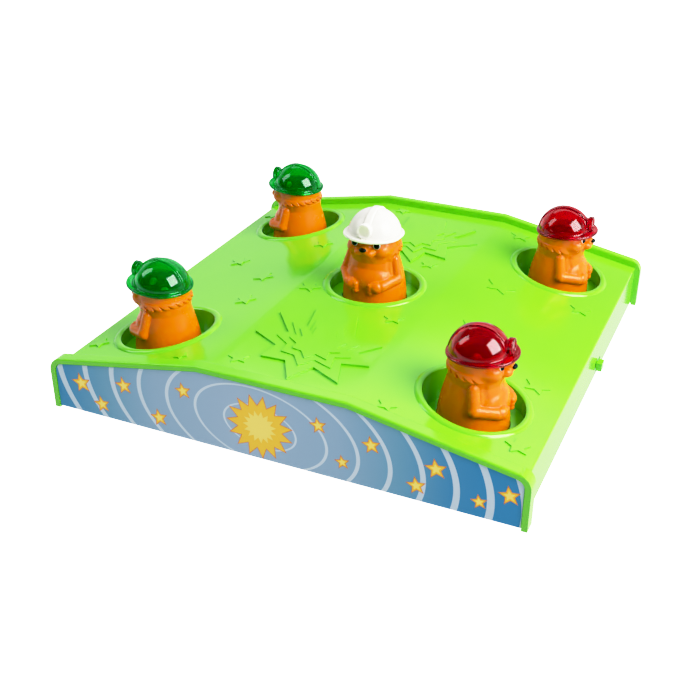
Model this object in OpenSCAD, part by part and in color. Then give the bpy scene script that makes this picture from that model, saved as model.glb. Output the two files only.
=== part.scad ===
// Whack-a-mole toy: a low console with five spring-loaded moles that wear hard hats.
// Millimetres, +Z up. The origin is on the ground, under the middle of the console.

/* [Console] */
// Width over the end walls
console_w = 260; // [250:1:290]
// Depth over the end walls
console_d = 254; // [246:1:280]
// Height of the end walls at their outer ends
edge_h = 29.5; // [28:0.1:32]
// Height of the end walls in the middle
crown_h = 46.2; // [44.5:0.1:50]
// Width of the level crown between the two wings
crown_w = 80.6; // [76:0.1:92]
// Rise of the end walls above the deck
lip_rise = 4.5; // [3:0.1:5]
// Depth of the front lip
front_lip_d = 7.5; // [6:0.1:10]
// Depth of the back lip
back_lip_d = 4.7; // [3:0.1:6]
// Radius of the upper corners of the end walls
corner_r = 8; // [5:0.5:10]
// Radius of the rounded edges along the lips
lip_edge_r = 1.2; // [0.6:0.1:1.8]
// Distance of the side walls in from the ends of the end walls
side_inset = 3.5; // [2.5:0.1:5]
// Radius of the deck's outer edges
deck_edge_r = 1; // [0.5:0.1:2]
// Wall thickness of the deck moulding
wall = 2.4; // [2:0.1:3]
// Height of the walls' lower edge above the ground
ground_gap = 1.6; // [1.2:0.1:3]
// Height of the end walls' corner tips above the ground
tip_gap = 0.4; // [0.3:0.1:1]

/* [Label] */
// Width of the raised border round the front label
label_border = 3; // [2:0.1:5]
// Depth of the label's recess
label_recess = 0.8; // [0.5:0.1:1.2]
// Thickness of the label
label_t = 0.3; // [0.2:0.1:0.5]

/* [Deck relief] */
// Height of a burst's lowest step
burst_step = 1.2; // [0.6:0.1:1.6]
// Height of a burst's upper steps
burst_rise = 0.7; // [0.4:0.1:1]
// Radius of the notches between a burst's points
burst_notch_r = 21.5; // [16:0.5:24]
// Distance of the front burst's centre from the middle of the deck
front_burst_y = 78; // [74:0.5:82]
// Distance of the back burst's centre from the middle of the deck
back_burst_y = 73; // [71:0.5:78]
// Height of the small stars
star_h = 0.7; // [0.4:0.1:1.2]
// Outer radius of the small stars
star_r = 6.5; // [4:0.1:8]

/* [Wells] */
// Distance of the outer wells' centres in from the console's sides
well_inset = 43; // [39:0.5:48]
// Distance of the front wells' centres in from the console's front
front_well_inset = 48; // [44:0.5:54]
// Distance of the back wells' centres in from the console's back
back_well_inset = 44; // [40:0.5:50]
// Place of the middle well, front to back
middle_well_y = 3; // [-2:0.5:6]
// Inner radius of a well
mouth_r = 25.5; // [24.5:0.1:28]
// Width of the raised rim round a well
rim_w = 4.6; // [3.6:0.1:5.4]
// Height of that rim above the deck
rim_h = 1.3; // [0.8:0.1:1.6]
// Gap between the bottom cover and the outer wells' switch boards
board_gap = 0.7; // [0.5:0.1:2]
// Depth of the middle well
crown_well_depth = 6.8; // [5:0.1:9]
// Wall thickness of a well
well_wall = 2; // [1.6:0.1:3]
// Floor thickness of a well
floor_t = 2; // [1.6:0.1:2.6]

/* [Moles] */
// Radius of a mole's body at the floor of its well
mole_r = 18.2; // [17:0.1:19]
// Radius of a mole's neck
neck_r = 13.6; // [12.8:0.1:14]
// Height of the neck above the well's floor
neck_z = 26; // [24:0.1:28]
// Wall thickness of a mole's body
shell_t = 1.8; // [1.4:0.1:2.2]
// How far a mole travels when it is hit
travel = 5; // [3:0.1:6]
// Gap between a mole and the hole in the well's floor
mole_gap = 0.4; // [0.3:0.1:0.7]
// Width of the flange that keeps a mole in its well
flange_w = 2.4; // [1.6:0.1:3]
// Thickness of that flange
flange_t = 1.8; // [1.4:0.1:2.2]
// Gap between stops, and under pieces that travel
stop_gap = 0.3; // [0.2:0.05:0.4]
// Radius of the skull at its widest
skull_r = 14.4; // [13.8:0.1:15]
// Distance of the skull forward of the mole's axis
skull_x = 0.6; // [0:0.1:1]
// Number of points in the fur ruff
ruff_points = 18; // [12:1:24]
// Radius of an arm
arm_r = 3.3; // [2.6:0.1:3.8]
// Radius of a paw
paw_r = 4.1; // [3.4:0.1:4.6]

/* [Hard hats] */
// Distance of a hat forward of the mole's axis
hat_x = 1.1; // [0.4:0.1:1.8]
// Height of a hat's brim above the well's floor
hat_z = 39.5; // [38.5:0.1:42]
// Tilt of a hat, front up
hat_tilt = 3.7; // [0:0.1:5]
// Radius of the brim
brim_r = 16.4; // [16:0.1:17.4]
// How far the brim stands out further in front, as a visor
visor = 3.1; // [1:0.1:4]
// Thickness of the brim
brim_t = 1.4; // [1:0.1:2]
// Radius of the dome
dome_r = 15.1; // [14.6:0.1:15.4]
// Depth of the dome's centre below the brim's underside
dome_drop = 0.6; // [0:0.1:1.2]
// Wall thickness of a hat
hat_t = 1.6; // [1.2:0.1:1.8]
// Width of the ridge over a hat
ridge_w = 4.6; // [3:0.1:6]
// Height of that ridge
ridge_h = 0.7; // [0.4:0.1:1.2]
// Radius of the lamp housing on the front of a hat
lamp_house_r = 4.3; // [3.6:0.1:4.6]
// Radius of the collar on the head that a hat sits on
collar_r = 11.9; // [11:0.1:12]
// Gap round that collar
collar_gap = 0.15; // [0.1:0.05:0.2]

/* [Mechanism] */
// Radius of a guide post
post_r = 5; // [4:0.1:5.4]
// Running gap between a post and the mole's guide tube
post_gap = 0.08; // [0.05:0.01:0.1]
// Wall thickness of the guide tube
tube_t = 1.7; // [1.2:0.1:2]
// Radius of the bore in a guide post
post_bore_r = 1.8; // [1.4:0.1:2.2]
// Height of a guide post above the well's floor
post_h = 30; // [26:0.5:31]
// Depth of the spring's seat below the well's floor
seat_depth = 11; // [10:0.1:11.4]
// Height of the web that the spring pushes, above the well's floor
web_z = 12; // [9:0.1:14]
// Mean radius of a return spring
coil_r = 8.2; // [8:0.1:9]
// Radius of the spring's wire
wire_r = 0.5; // [0.3:0.05:0.6]
// Turns of a return spring
coil_turns = 7; // [5:0.5:9]
// Radius of a lamp
lamp_r = 2.5; // [1.5:0.1:3]
// Height of a push switch with its plunger
push_h = 4.5; // [3.8:0.1:4.8]

/* [Bottom cover] */
// Thickness of the bottom cover
cover_t = 3; // [2.6:0.1:3]
// Gap between the cover and the walls round it
cover_gap = 0.4; // [0.3:0.1:0.8]
// Height of the rib along the cover's edge
rib_h = 4; // [2:0.1:6]
// Thickness of the cover's ribs
rib_t = 1.6; // [1.2:0.1:2]
// Radius of the screw bosses under the deck
boss_r = 4; // [3.5:0.1:5]
// Radius of a screw's thread
screw_r = 1.4; // [1:0.1:1.6]
// Gap round a screw
screw_gap = 0.1; // [0.05:0.05:0.2]
// Radius of a foot
foot_r = 7; // [5:0.5:9]
// Depth of a foot's seat in the cover
foot_seat = 0.8; // [0.5:0.1:1.2]
// Distance of the feet in from the console's sides
foot_inset_x = 30; // [24:1:40]
// Distance of the feet in from the console's front and back
foot_inset_y = 27; // [23:1:37]

/* [Power] */
// Diameter of a cell
cell_d = 14.5; // [14:0.1:15]
// Length of a cell
cell_l = 50.5; // [50:0.1:51]
// Number of cells
cells = 3; // [2:1:3]
// Place of the battery box, front to back
box_y = -72; // [-76:1:-66]
// Wall thickness of the battery box
box_wall = 1.8; // [1.4:0.1:2.2]
// Thickness of the battery door
door_t = 1.8; // [1.4:0.1:2]
// Place of the switch knob along the right wall
knob_y = 24.6; // [18:0.1:30]
// Height of the switch knob's middle
knob_z = 7.6; // [7.4:0.1:8.4]
// Length of the switch knob along the wall
knob_l = 6; // [5:0.1:8]
// Height of the switch knob
knob_h = 4.6; // [4:0.1:5]
// How far the switch knob slides
knob_travel = 6; // [4:0.1:8]
// Radius of the speaker
speaker_r = 20; // [16:0.5:22]

/* [Hidden] */
$fn = 64;
half_w = console_w / 2;
half_d = console_d / 2;
well_x = half_w - well_inset;
front_well_y = front_well_inset - half_d;
back_well_y = half_d - back_well_inset;
STATIONS = ["front_left", "back_left", "middle", "front_right", "back_right"];
station_at = [
    [-well_x, front_well_y], [-well_x, back_well_y], [0, middle_well_y],
    [well_x, front_well_y], [well_x, back_well_y]
];
station_turn = [180, 180, -90, 0, 0];
station_board_turn = [0, 0, 90, 180, 180];
hat_colours = ["green", "green", "whitesmoke", "crimson", "crimson"];
lime = "yellowgreen";
orange = "darkorange";

crown_x = crown_w / 2;
wing_angle = atan((crown_h - edge_h) / (half_w - crown_x));
side_x = half_w - side_inset;
inner_x = side_x - wall;
inner_y = half_d - wall;
cover_top = ground_gap + cover_t;
overcut = 1;

// Under a well's floor, downwards: the mole's skirt with its flange, the travel, the switch and its board
skirt_z = -floor_t - stop_gap - flange_t;
push_top = skirt_z - travel - stop_gap;
board_t = 1.6;
station_board_z = push_top - push_h - board_t;

// Height of the end walls, of the deck and of a well's floor
function lip_z(x) = crown_h - max(0, abs(x) - crown_x) * tan(wing_angle);
function deck_z(x) = lip_z(x) - lip_rise;
function floor_z(i) = station_at[i].x == 0
    ? deck_z(0) - crown_well_depth
    : cover_top + board_gap - station_board_z;

// Points of an arc of radius r that rounds corner b of an outline from a to c
arc_steps = 6;
function unit(v) = v / norm(v);
function bearing(v) = atan2(v.y, v.x);
function round_corner(a, b, c, r) =
    let (
        u = unit(a - b),
        w = unit(c - b),
        half = acos(u * w) / 2,
        middle = b + unit(u + w) * r / sin(half),
        start = bearing(b + u * r / tan(half) - middle),
        end = bearing(b + w * r / tan(half) - middle),
        turn = (end - start + 540) % 360 - 180
    )
    [for (i = [0 : arc_steps]) let (a = start + turn * i / arc_steps) middle + r * [cos(a), sin(a)]];

// Outline of the console's cross-section from the right corner over the crown to the left corner
function roof(half, drop, r) =
    let (
        corner = [half, lip_z(half) - drop],
        crease = [crown_x, crown_h - drop],
        right = round_corner([half, 0], corner, crease, r)
    )
    concat(
        right,
        [crease, [-crease.x, crease.y]],
        [for (i = [len(right) - 1 : -1 : 0]) [-right[i].x, right[i].y]]
    );
function under_roof(half, drop, r, bottom) = concat([[half, bottom]], roof(half, drop, r), [[-half, bottom]]);

// Extrudes a cross-section, drawn as X and Z, from y0 to y1
module along_y(y0, y1) {
    translate([0, y1, 0]) rotate([90, 0, 0]) linear_extrude(y1 - y0) children();
}

// Puts children on the deck at a place, lying along the slope there
module on_deck(at) {
    slope = abs(at.x) > crown_x ? sign(at.x) * wing_angle : 0;
    translate([at.x, at.y, deck_z(at.x)]) rotate([0, slope, 0]) children();
}

// Puts children in a mole's own frame: on the floor of its well, facing +X
module at_station(i) {
    translate([station_at[i].x, station_at[i].y, floor_z(i)]) rotate(station_turn[i]) children();
}

// A limb through a list of points, with slightly fuller joints
joint_fullness = 1.04;
module limb(points, r) {
    for (k = [0 : len(points) - 2]) {
        reach = points[k + 1] - points[k];
        translate(points[k]) rotate([0, acos(reach.z / norm(reach)), bearing(reach)])
            cylinder(r = r, h = norm(reach));
    }
    for (at = points) translate(at) sphere(joint_fullness * r);
}

// A screw that points up, with its head's underside at z = 0
screw_head_r = 2 * screw_r;
screw_head_h = 1.3 * screw_r;
module screw(length) {
    cylinder(r = screw_r, h = length);
    translate([0, 0, -screw_head_h]) difference() {
        cylinder(r = screw_head_r, h = screw_head_h);
        for (turn = [0, 90]) rotate(turn) translate([0, 0, screw_head_h / 4 - overcut / 2])
            cube([2.2 * screw_r, screw_r / 2, screw_head_h / 2 + overcut], center = true);
    }
}

// The hole for a screw, with a sunk seat for its head below z = 0
module screw_hole(length) {
    cylinder(r = screw_r + screw_gap, h = length + overcut);
    translate([0, 0, -screw_head_h - overcut])
        cylinder(r = screw_head_r + 2 * screw_gap, h = screw_head_h + overcut);
}

// Deck moulding

boss_inset = 9;
boss_places = [
    for (x = [-1, 0, 1], y = [-1, 0, 1]) if ((x != 0 || y != 0) && !(x > 0 && y == 0))
        [x * (side_x - boss_inset), y * (half_d - 1.7 * boss_inset)]
];
cover_screw_l = 12;
screw_seat_z = ground_gap + screw_head_h;

module end_outline() {
    tip = half_w - label_border;
    polygon(concat(
        [[half_w, tip_gap]], roof(half_w, 0, corner_r), [[-half_w, tip_gap]],
        [[-tip, tip_gap], [-tip, ground_gap], [tip, ground_gap], [tip, tip_gap]]
    ));
}

// Cuts the straight edge of a lip round, along the crown and both wings
module lip_edge_cut(y, inward) {
    wing_l = (half_w - crown_x) / cos(wing_angle);
    module cut(start, length) {
        translate([start, 0, 0]) rotate([90, 0, 90]) linear_extrude(length) difference() {
            translate([inward > 0 ? -overcut : -lip_edge_r, -lip_edge_r]) square(lip_edge_r + overcut);
            translate([inward * lip_edge_r, -lip_edge_r]) circle(lip_edge_r);
        }
    }
    translate([0, y, crown_h]) cut(-crown_x - overcut, crown_w + 2 * overcut);
    for (side = [0, 1]) mirror([side, 0, 0]) translate([crown_x, y, crown_h])
        rotate([0, wing_angle, 0]) cut(-overcut, wing_l + 2 * overcut);
}

// The front and the back burst: where they are, and their points of uneven length, as [bearing, radius]
burst_at = [[2.5, -front_burst_y], [0, back_burst_y]];
burst_tips = [
    [[23, 33], [81, 38], [116, 42], [143, 44], [177, 37], [223, 30], [270, 35], [310, 38], [346, 33]],
    [[10, 37], [42, 39], [80, 36], [118, 37], [159, 33], [200, 36], [242, 36], [283, 35], [319, 34]]
];
// The steps of a burst, as the sizes of their points and notches
burst_sizes = [[1, 1], [0.65, 0.73], [0.45, 0.51]];
function burst_outline(tips, size) = [
    for (i = [0 : len(tips) - 1]) let (
        tip = tips[i],
        next = i + 1 < len(tips) ? tips[i + 1][0] : tips[0][0] + 360,
        notch = (tip[0] + next) / 2
    ) each [
        size[0] * tip[1] * [cos(tip[0]), sin(tip[0])],
        size[1] * burst_notch_r * [cos(notch), sin(notch)]
    ]
];
module burst(k) {
    on_deck(burst_at[k]) for (i = [0 : len(burst_sizes) - 1])
        translate([0, 0, -wall / 2]) linear_extrude(wall / 2 + burst_step + i * burst_rise)
            polygon(burst_outline(burst_tips[k], burst_sizes[i]));
}

// Small stars, as [x, y, size, turn]
stars = [
    [-118, -99, 0.9, 10], [-60, -109, 0.6, 0], [-61, -39, 1, 15], [-67, -6, 1, 0], [-96, 17, 1, 20],
    [-53, 47, 1, 5], [-117, 101, 0.9, 0], [-29, -104, 0.9, 40], [-32, -16, 1, 10], [26, -33, 0.9, 30],
    [-26, 113, 0.8, 0], [19, 40, 0.8, 20], [54, -111, 0.8, 15], [67, -17, 1.5, 8], [64, 38, 1.4, 12],
    [55, 110, 1, 30], [110, 45, 1, 25], [110, -48, 1.1, 10], [116, -102, 1, 35]
];
module star(size) {
    linear_extrude(wall / 2 + star_h) polygon([
        for (i = [0 : 9]) size * star_r * (i % 2 == 0 ? 1 : 0.48) * [cos(36 * i), sin(36 * i)]
    ]);
}

// One well with its floor, and the raised rim round its mouth, which the bore trims a little.
// The rim is the top of a round bead that is sunk in the deck.
rim_bite = 0.3;
bead_r = (rim_w * rim_w / 4 + rim_h * rim_h) / (2 * rim_h);
module well_cup(i) {
    at = station_at[i];
    bottom = floor_z(i) - floor_t;
    intersection() {
        translate([at.x, at.y, bottom]) cylinder(r = mouth_r + well_wall, h = crown_h - bottom);
        along_y(-half_d, half_d) polygon(under_roof(side_x, lip_rise + wall / 2, deck_edge_r, 0));
    }
    on_deck(at) rotate_extrude() translate([mouth_r + rim_w / 2 - rim_bite, rim_h - bead_r]) intersection() {
        circle(bead_r);
        translate([-2 * bead_r, bead_r - rim_h - wall / 2]) square(4 * bead_r);
    }
}
module well_cut(i) {
    at = station_at[i];
    translate([at.x, at.y, floor_z(i)]) {
        cylinder(r = mouth_r, h = crown_h);
        translate([0, 0, -floor_t - overcut]) cylinder(r = mole_r + mole_gap, h = floor_t + 2 * overcut);
    }
}

stem_l = 4;
stem_h = 2.6;
slot_gap = 0.3;
module knob_slot() {
    translate([inner_x - overcut, knob_y - stem_l / 2 - slot_gap, knob_z - stem_h / 2 - slot_gap])
        cube([wall + 2 * overcut, stem_l + knob_travel + 2 * slot_gap, stem_h + 2 * slot_gap]);
}

module deck_shell() {
    color(lime) difference() {
        union() {
            difference() {
                union() {
                    along_y(-half_d, half_d) polygon(under_roof(side_x, lip_rise, deck_edge_r, ground_gap));
                    along_y(-half_d, front_lip_d - half_d) end_outline();
                    along_y(half_d - back_lip_d, half_d) end_outline();
                }
                along_y(-inner_y, inner_y)
                    polygon(under_roof(inner_x, lip_rise + wall, deck_edge_r, -overcut));
                along_y(-inner_y, front_lip_d - half_d - wall)
                    polygon(under_roof(inner_x, wall, deck_edge_r, 0));
                along_y(-half_d - overcut, label_recess - half_d)
                    polygon(under_roof(half_w - label_border, label_border, corner_r - label_border, 0));
                lip_edge_cut(-half_d, 1);
                lip_edge_cut(front_lip_d - half_d, -1);
                lip_edge_cut(half_d - back_lip_d, 1);
                lip_edge_cut(half_d, -1);
            }
            for (i = [0 : len(STATIONS) - 1]) well_cup(i);
            for (k = [0 : len(burst_at) - 1]) burst(k);
            for (s = stars) on_deck(s) translate([0, 0, -wall / 2]) rotate(s[3]) star(s[2]);
            for (at = boss_places) translate([at.x, at.y, cover_top])
                cylinder(r = boss_r, h = deck_z(abs(at.x) + boss_r) - wall / 2 - cover_top);
        }
        for (i = [0 : len(STATIONS) - 1]) well_cut(i);
        for (at = boss_places) translate([at.x, at.y, screw_seat_z]) screw_hole(cover_screw_l);
        knob_slot();
    }
}

module front_label() {
    color("steelblue") along_y(label_recess - half_d - label_t, label_recess - half_d)
        polygon(under_roof(
            half_w - label_border - cover_gap, label_border + cover_gap,
            corner_r - label_border - cover_gap, ground_gap
        ));
}

// Moles

// Radius of the bell-shaped body at height z
function bell_r(z) = z < 0 ? mole_r : neck_r + (mole_r - neck_r) * cos(90 * z / neck_z);
bell_steps = 10;
function bell(inset, bottom, top) = concat(
    [[0, bottom], [mole_r - inset, bottom]],
    [for (i = [0 : bell_steps]) let (z = top * i / bell_steps) [bell_r(z) - inset, z]],
    [[0, top]]
);

skull_low = neck_z - 2;
skull_top = hat_z + 2;
skull_steps = 8;
skull_pinch = 1.2;
function skull(inset) = concat(
    [[0, skull_low]],
    [for (i = [0 : skull_steps]) let (t = i / skull_steps)
        [skull_r - inset - skull_pinch * pow(2 * t - 1, 2), skull_low + t * (skull_top - skull_low)]],
    [[0, skull_top]]
);

// Puts children in the hat's frame: at the middle of the brim's underside, tilted with the hat
module at_hat() {
    translate([hat_x, 0, hat_z]) rotate([0, -hat_tilt, 0]) translate([0, 0, -brim_t / 2]) children();
}

// The fur ruff: a band round the neck whose lower edge is cut to points
ruff_h = 3.6;
ruff_w = 1.4;
module ruff() {
    low = neck_z + 2;
    translate([skull_x, 0, 0]) difference() {
        rotate_extrude() polygon([
            [neck_r - 1, low], [neck_r + ruff_w, low + 0.5], [neck_r + ruff_w, low + 1.5],
            [skull_r - 0.4, low + ruff_h], [neck_r - 1, low + ruff_h]
        ]);
        for (i = [0 : ruff_points - 1]) rotate(360 * (i + 0.5) / ruff_points) translate([0, 0, low])
            rotate([90, 0, 90]) linear_extrude(2 * skull_r)
                polygon([[-1.5, -overcut], [1.5, -overcut], [0, 0.7 * ruff_h]]);
    }
}

// Face: tapered snout with its nose, cheeks, jaw and small round eyes
face_z = hat_z - 5;
snout_root = [9, 0, face_z - 0.3];
snout_root_r = 7.4;
snout_tip = [18.3, 0, face_z + 1.4];
snout_r = 3.5;
nose_r = 2.2;
eye_r = 2.1;
cheek_r = 5.8;
jaw_r = 5;
module face() {
    reach = snout_tip - snout_root;
    translate(snout_root) rotate([0, acos(reach.z / norm(reach)), 0])
        cylinder(r1 = snout_root_r, r2 = snout_r, h = norm(reach));
    translate(snout_tip) sphere(joint_fullness * snout_r);
    translate(snout_tip + [2.3, 0, 1.5]) sphere(nose_r);
    for (side = [-1, 1]) {
        translate([10, side * 6.4, face_z - 1.9]) sphere(cheek_r);
        translate([14.1, side * 5.2, face_z + 1.7]) sphere(eye_r);
    }
    translate([10.8, 0, face_z - 3]) sphere(jaw_r);
}

// Arms bent across the belly, one on each side
module arms() {
    for (side = [-1, 1]) {
        shoulder = [3, side * 13, 25.6];
        elbow = [5, side * 16, 15.2];
        paw = [15, side * 8.6, 13];
        limb([shoulder, elbow, paw], arm_r);
        translate(paw + [0.6, -side * 0.4, -0.2]) sphere(paw_r);
    }
}

web_t = 1.6;
web_r = bell_r(web_z) - shell_t / 2;
tube_low = 2;
module mole_body(i) {
    bore_r = collar_r - shell_t / 2;
    color(orange) at_station(i) {
        difference() {
            union() {
                rotate_extrude() polygon(bell(0, skirt_z, neck_z));
                translate([0, 0, skirt_z]) cylinder(r = mole_r + flange_w, h = flange_t);
                difference() {
                    union() {
                        translate([skull_x, 0, 0]) rotate_extrude() polygon(skull(0));
                        face();
                        ruff();
                    }
                    at_hat() translate([0, 0, -stop_gap]) cylinder(r = 2 * skull_r, h = 2 * skull_r);
                }
                at_hat() translate([0, 0, -2]) cylinder(r = collar_r, h = 2 + 2 * brim_t);
                arms();
            }
            rotate_extrude() polygon(bell(shell_t, skirt_z - overcut, neck_z));
            translate([skull_x, 0, neck_z - overcut]) cylinder(r = neck_r - shell_t, h = hat_z - neck_z - 2);
            at_hat() translate([0, 0, -6]) cylinder(r = bore_r, h = 6 + 3 * brim_t);
        }
        difference() {
            union() {
                translate([0, 0, web_z]) cylinder(r = web_r, h = web_t);
                translate([0, 0, tube_low])
                    cylinder(r = post_r + post_gap + tube_t, h = web_z - tube_low + web_t);
            }
            translate([0, 0, tube_low - overcut]) cylinder(r = post_r + post_gap, h = web_z + 2 * overcut);
        }
    }
}

// A hard hat: dome, brim with its visor, ridge and lamp housing
module helmet(i) {
    lamp_z = 0.45 * dome_r;
    lamp_x = dome_r + 1.8;
    lamp_root = 0.57 * dome_r;
    seat_top = 2 * brim_t + stop_gap;
    color(hat_colours[i]) at_station(i) at_hat() difference() {
        union() {
            intersection() {
                translate([0, 0, -dome_drop]) sphere(dome_r);
                cylinder(r = 2 * dome_r, h = 2 * dome_r);
            }
            rotate_extrude() polygon([
                [collar_r - 2, 0], [brim_r - 0.5, 0], [brim_r, 0.4 * brim_t], [brim_r - 0.3, brim_t],
                [dome_r - 0.4, brim_t + 0.5], [dome_r - 1.2, brim_t + 1.6], [collar_r - 2, brim_t + 1.6]
            ]);
            translate([visor, 0, 0]) rotate_extrude() polygon([
                [0, 0], [brim_r - 0.5, 0], [brim_r, 0.4 * brim_t], [brim_r - 0.3, brim_t], [0, brim_t]
            ]);
            intersection() {
                translate([0, 0, -dome_drop]) sphere(dome_r + ridge_h);
                translate([-2 * dome_r, -ridge_w / 2, brim_t + 1]) cube([4 * dome_r, ridge_w, 2 * dome_r]);
            }
            translate([lamp_root, 0, lamp_z]) rotate([0, 90, 0]) {
                cylinder(r = lamp_house_r - 0.4, h = lamp_x - lamp_root);
                translate([0, 0, lamp_x - lamp_root - 1.2]) cylinder(r = lamp_house_r, h = 1.2);
            }
        }
        intersection() {
            translate([0, 0, -dome_drop]) sphere(dome_r - hat_t);
            translate([0, 0, seat_top]) cylinder(r = 2 * dome_r, h = 2 * dome_r);
        }
        translate([0, 0, -overcut]) cylinder(r = collar_r + collar_gap, h = 2 * overcut + seat_top);
        translate([lamp_x - 0.8, 0, lamp_z]) rotate([0, 90, 0]) cylinder(r = lamp_house_r - 0.9, h = 2);
    }
}

// A return spring, swept as one tube along its helix
coil_sides = 6;
coil_rings = 8;
function coil(low, high) =
    let (
        rings = coil_rings * coil_turns,
        points = [
            for (k = [0 : rings]) let (turn = 360 * k / coil_rings, z = low + (high - low) * k / rings)
                for (s = [0 : coil_sides - 1]) let (a = 360 * s / coil_sides, r = coil_r + wire_r * cos(a))
                    [r * cos(turn), r * sin(turn), z + wire_r * sin(a)]
        ],
        sides = [
            for (k = [0 : rings - 1], s = [0 : coil_sides - 1]) let (
                a = k * coil_sides + s,
                b = k * coil_sides + (s + 1) % coil_sides
            ) each [[a, b, b + coil_sides], [a, b + coil_sides, a + coil_sides]]
        ],
        ends = [
            for (s = [1 : coil_sides - 2]) each [
                [0, s + 1, s],
                [rings * coil_sides, rings * coil_sides + s, rings * coil_sides + s + 1]
            ]
        ]
    )
    [points, concat(sides, ends)];
module return_spring(i) {
    shape = coil(-seat_depth + wire_r + stop_gap / 2, web_z - wire_r - stop_gap / 2);
    color("silver") at_station(i) polyhedron(shape[0], shape[1]);
}

// A fixed guide post with the spring's seat, standing on the bottom cover
post_base_r = 12;
post_base_t = 3;
post_screw_x = 9.2;
seat_t = 1.5;
seat_r = coil_r + wire_r + 1.5;
column_r = coil_r - wire_r;
post_screw_l = cover_t - screw_head_h + post_base_t - 0.4;
module guide_post(i) {
    base = cover_top - floor_z(i);
    color("gainsboro") at_station(i) difference() {
        rotate_extrude() polygon([
            [post_bore_r, base], [post_base_r, base], [post_base_r, base + post_base_t],
            [column_r, base + post_base_t], [column_r, -seat_depth - seat_t], [seat_r, -seat_depth - seat_t],
            [seat_r, -seat_depth], [post_r, -seat_depth], [post_r, post_h], [post_bore_r, post_h]
        ]);
        for (side = [-1, 1]) translate([0, side * post_screw_x, base - cover_t + screw_head_h])
            cylinder(r = screw_r + screw_gap, h = post_screw_l + 0.2);
    }
}

// A lamp on top of its post, with two legs down the post's bore
lamp_leg_r = 0.3;
lamp_leg_l = 9;
module lamp(i) {
    color("white") at_station(i) translate([0, 0, post_h]) {
        cylinder(r = lamp_r + 0.4, h = 1);
        cylinder(r = lamp_r, h = 5);
        translate([0, 0, 5]) sphere(lamp_r);
        for (side = [-1, 1]) translate([side * post_bore_r / 2, 0, -lamp_leg_l])
            cylinder(r = lamp_leg_r, h = lamp_leg_l);
    }
}

// Push switches under the moles' flanges, each on a small board
push_at_r = mole_r;
station_board_w = 10;
station_board_l = 22;
push_w = 6;
module at_push(i) {
    translate([station_at[i].x, station_at[i].y, floor_z(i)]) rotate(station_board_turn[i])
        translate([push_at_r, 0, push_top - push_h]) children();
}
module station_boards() {
    color("darkgreen") for (i = [0 : len(STATIONS) - 1]) at_push(i)
        translate([-station_board_w / 2, -station_board_l / 2, -board_t])
            cube([station_board_w, station_board_l, board_t]);
}
module tact_switches() {
    color("dimgray") for (i = [0 : len(STATIONS) - 1]) at_push(i) {
        translate([-push_w / 2, -push_w / 2, 0]) cube([push_w, push_w, push_h - 1]);
        cylinder(r = push_w / 3.6, h = push_h);
    }
}

// Bottom cover with its battery box

cell_gap = 0.4;
contact_t = 0.4;
contact_l = 2;
box_l = cell_l + 2 * (contact_t + contact_l + 0.2);
box_w = cells * (cell_d + cell_gap) + cell_gap;
door_lap = 2;
door_gap = 0.3;
door_ear = 10;
box_floor = ground_gap + door_t + cell_gap;
box_roof = box_floor + cell_d + cell_gap;
hook_l = 2.4;
hook_w = 8;
hook_t = 0.9;
door_screw_x = box_l / 2 + door_lap + door_ear / 2;
door_screw_l = 7;
board_inset = 51;
board_at = [0, half_d - board_inset];
board_size = [70, 44];
board_stand_h = 6;
board_z = cover_top + board_stand_h;
board_hole_inset = 4;
foot_x = half_w - foot_inset_x;
foot_y = half_d - foot_inset_y;
board_screw_l = 6;
speaker_at = [-well_x, middle_well_y];

function board_holes() = [
    for (x = [-1, 1], y = [-1, 1]) board_at + [
        x * (board_size.x / 2 - board_hole_inset),
        y * (board_size.y / 2 - board_hole_inset)
    ]
];

module box_block(grow, low, high) {
    translate([-box_l / 2 - grow, box_y - box_w / 2 - grow, low])
        cube([box_l + 2 * grow, box_w + 2 * grow, high - low]);
}

// The door's outline with its ear for the screw, grown by a gap
module door_block(grow, low, high) {
    box_block(door_lap + grow, low, high);
    translate([0, box_y - door_ear / 2 - grow, low])
        cube([door_screw_x + door_ear / 2 + grow, door_ear + 2 * grow, high - low]);
}
module door_hooks(grow) {
    for (y = [-1, 1]) translate([
        -box_l / 2 - door_lap - hook_l - grow,
        box_y + y * box_w / 4 - hook_w / 2 - grow,
        ground_gap + door_t - hook_t - grow
    ]) cube([hook_l + door_lap + grow, hook_w + 2 * grow, hook_t + 2 * grow]);
}

// Rib along the cover's edge, left out behind the switch
switch_l = 16;
module edge_rib() {
    x = inner_x - cover_gap;
    y = inner_y - cover_gap;
    difference() {
        translate([-x, -y, cover_top]) cube([2 * x, 2 * y, rib_h]);
        translate([-x + rib_t, -y + rib_t, cover_top - overcut])
            cube([2 * (x - rib_t), 2 * (y - rib_t), rib_h + 2 * overcut]);
        translate([0, knob_y + knob_travel / 2 - switch_l, cover_top - overcut])
            cube([2 * x, 2 * switch_l, rib_h + 2 * overcut]);
    }
}

// Grille holes in rings under the speaker
grille_hole_r = 1.5;
grille_pitch = 5;
module grille() {
    for (ring = [0 : 2], k = [0 : max(0, 6 * ring - 1)])
        translate(speaker_at) rotate(360 * k / max(1, 6 * ring)) translate([ring * grille_pitch, 0, 0])
            cylinder(r = grille_hole_r, h = cover_top + overcut);
}

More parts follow.
